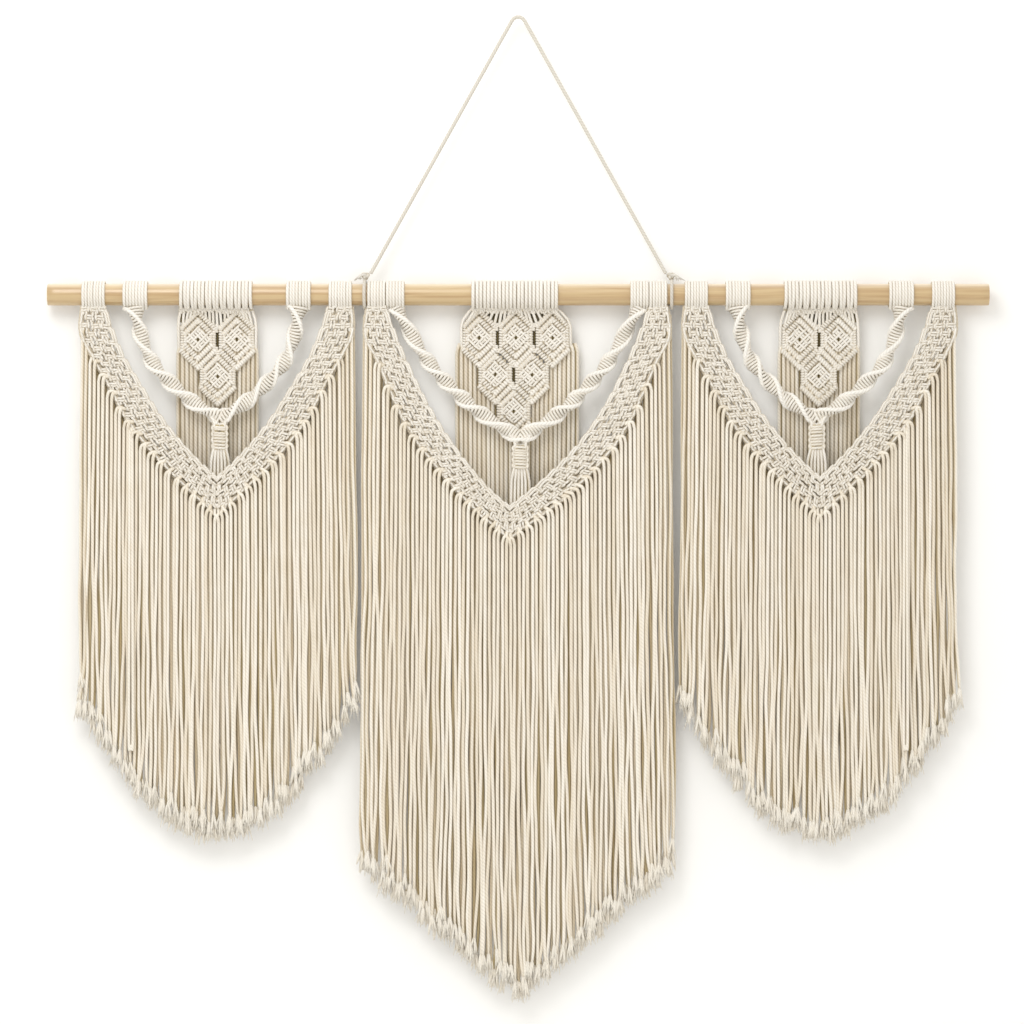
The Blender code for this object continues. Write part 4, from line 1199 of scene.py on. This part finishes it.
class MACRAME_OT_motifs(bpy.types.Operator):
    """Adds each panel's diamonds, their tab and the cords behind the swag"""

    bl_idname = "macrame.motifs"
    bl_label = "Diamond motifs"

    def execute(self, context):
        for k, panel in enumerate(PANELS):
            rng = draws(40 + k)
            node = f"motif_{panel.name}"
            parts = heading_cords(panel, rng)
            parts.append(tab_wraps(panel, panel.kind.motif_tab, 1, 0.53, 1.5, rng))
            for x, drop in cell_places(panel.kind):
                parts += cell(panel, x, drop, rng)
            add_piece(f"diamonds_{panel.name}", parts, "knots", node)
            cords = back_cords(panel, 0, rng) + back_cords(panel, 1, rng)
            add_piece(f"back_cords_{panel.name}", cords, "fringe", node)
        return {"FINISHED"}


class MACRAME_OT_stage(bpy.types.Operator):
    """Adds the wall, the floor, the lights and the camera"""

    bl_idname = "macrame.stage"
    bl_label = "Wall, lights and camera"

    def execute(self, context):
        scene = context.scene
        scene.view_settings.view_transform = "Standard"
        scene.view_settings.look = "None"
        self.sheet("stage_wall", (WALL_Y, FLOOR_Z), (WALL_Y, 1.6), "#FBFBFA")
        self.sheet("stage_floor", (-5, FLOOR_Z), (WALL_Y, FLOOR_Z), "#F4F3F1")
        scene.world = bpy.data.worlds.new("pale_studio")
        scene.world.use_nodes = True
        tree = scene.world.node_tree
        sky = tree.nodes["Background"]
        sky.inputs[0].default_value = linear("#FFFDF9")
        # a white ceiling above, a darker room below
        spot = add_node(tree, "TexCoord", out="Generated")
        height = add_node(tree, "SeparateXYZ", {0: spot}, out=2)
        add_node(tree, "MapRange", {0: height, 1: -1.0, 2: 1.0, 3: 0.56, 4: 1.04},
                 to=sky.inputs[1])
        softbox = bpy.data.lights.new("key_softbox", "AREA")
        softbox.shape = "DISK"
        softbox.size = SOFTBOX_WIDTH
        softbox.energy = scene.hanging.key_power
        made = add_object("key_softbox", softbox)
        made.location = SOFTBOX_PLACE
        made.rotation_mode = "QUATERNION"
        aim = Vector(SOFTBOX_AIM) - Vector(SOFTBOX_PLACE)
        made.rotation_quaternion = aim.to_track_quat("-Z", "Y")
        camera = bpy.data.cameras.new("camera")
        camera.sensor_width = SENSOR
        camera.lens = LENS
        camera.clip_end = 50.0
        scene.camera = add_object("camera", camera)
        scene.camera.location = (VIEW_X, VIEW_Y - VIEW_WIDTH * LENS / SENSOR, VIEW_Z)
        scene.camera.rotation_euler = (math.pi / 2, 0.0, 0.0)
        return {"FINISHED"}

    def sheet(self, name, near, far, colour):
        """Matt stage surface between two edges (y, z), seen from its front only."""
        corners = [(x, *edge) for x, edge in ((-4, near), (4, near), (4, far), (-4, far))]
        mesh = bpy.data.meshes.new(name)
        mesh.from_pydata(corners, [], [(0, 1, 2, 3)])
        paint, tree, shader = new_finish(f"{name}_paint", {
            "Base Color": linear(colour), "Roughness": 1.0, "Specular IOR Level": 0.0,
            "Emission Color": linear(colour), "Emission Strength": STAGE_GLOW})
        behind = add_node(tree, "NewGeometry", out="Backfacing")
        clear = add_node(tree, "BsdfTransparent")
        add_node(tree, "MixShader", {0: behind, 1: shader.outputs[0], 2: clear},
                 to=tree.nodes["Material Output"].inputs[0])
        mesh.materials.append(paint)
        add_object(name, mesh)


class MACRAME_PT_panel(bpy.types.Panel):
    """Lists the pieces of the hanging"""

    bl_label = "Macrame wall hanging"
    bl_idname = "MACRAME_PT_panel"
    bl_space_type = "VIEW_3D"
    bl_region_type = "UI"
    bl_category = "Macrame"

    def draw(self, context):
        for name in HangingSettings.__annotations__:
            self.layout.prop(context.scene.hanging, name)
        for made in OPERATORS:
            self.layout.operator(made.bl_idname)


OPERATORS = (
    MACRAME_OT_stage,
    MACRAME_OT_hanging_cord,
    MACRAME_OT_dowel,
    MACRAME_OT_curtains,
    MACRAME_OT_swags,
    MACRAME_OT_tassels,
    MACRAME_OT_motifs,
)
CLASSES = (HangingSettings, *OPERATORS, MACRAME_PT_panel)


def register():
    """Registers the classes and gives the scene its settings."""
    for made in CLASSES:
        bpy.utils.register_class(made)
    bpy.types.Scene.hanging = bpy.props.PointerProperty(type=HangingSettings)


def unregister():
    """Takes the settings and the classes out again."""
    del bpy.types.Scene.hanging
    for made in reversed(CLASSES):
        bpy.utils.unregister_class(made)


def main():
    """Makes the stage and every piece."""
    register()
    bpy.ops.macrame.stage()
    bpy.ops.macrame.hanging_cord()
    bpy.ops.macrame.dowel()
    bpy.ops.macrame.curtains()
    bpy.ops.macrame.swags()
    bpy.ops.macrame.tassels()
    bpy.ops.macrame.motifs()


if __name__ == "__main__":
    main()
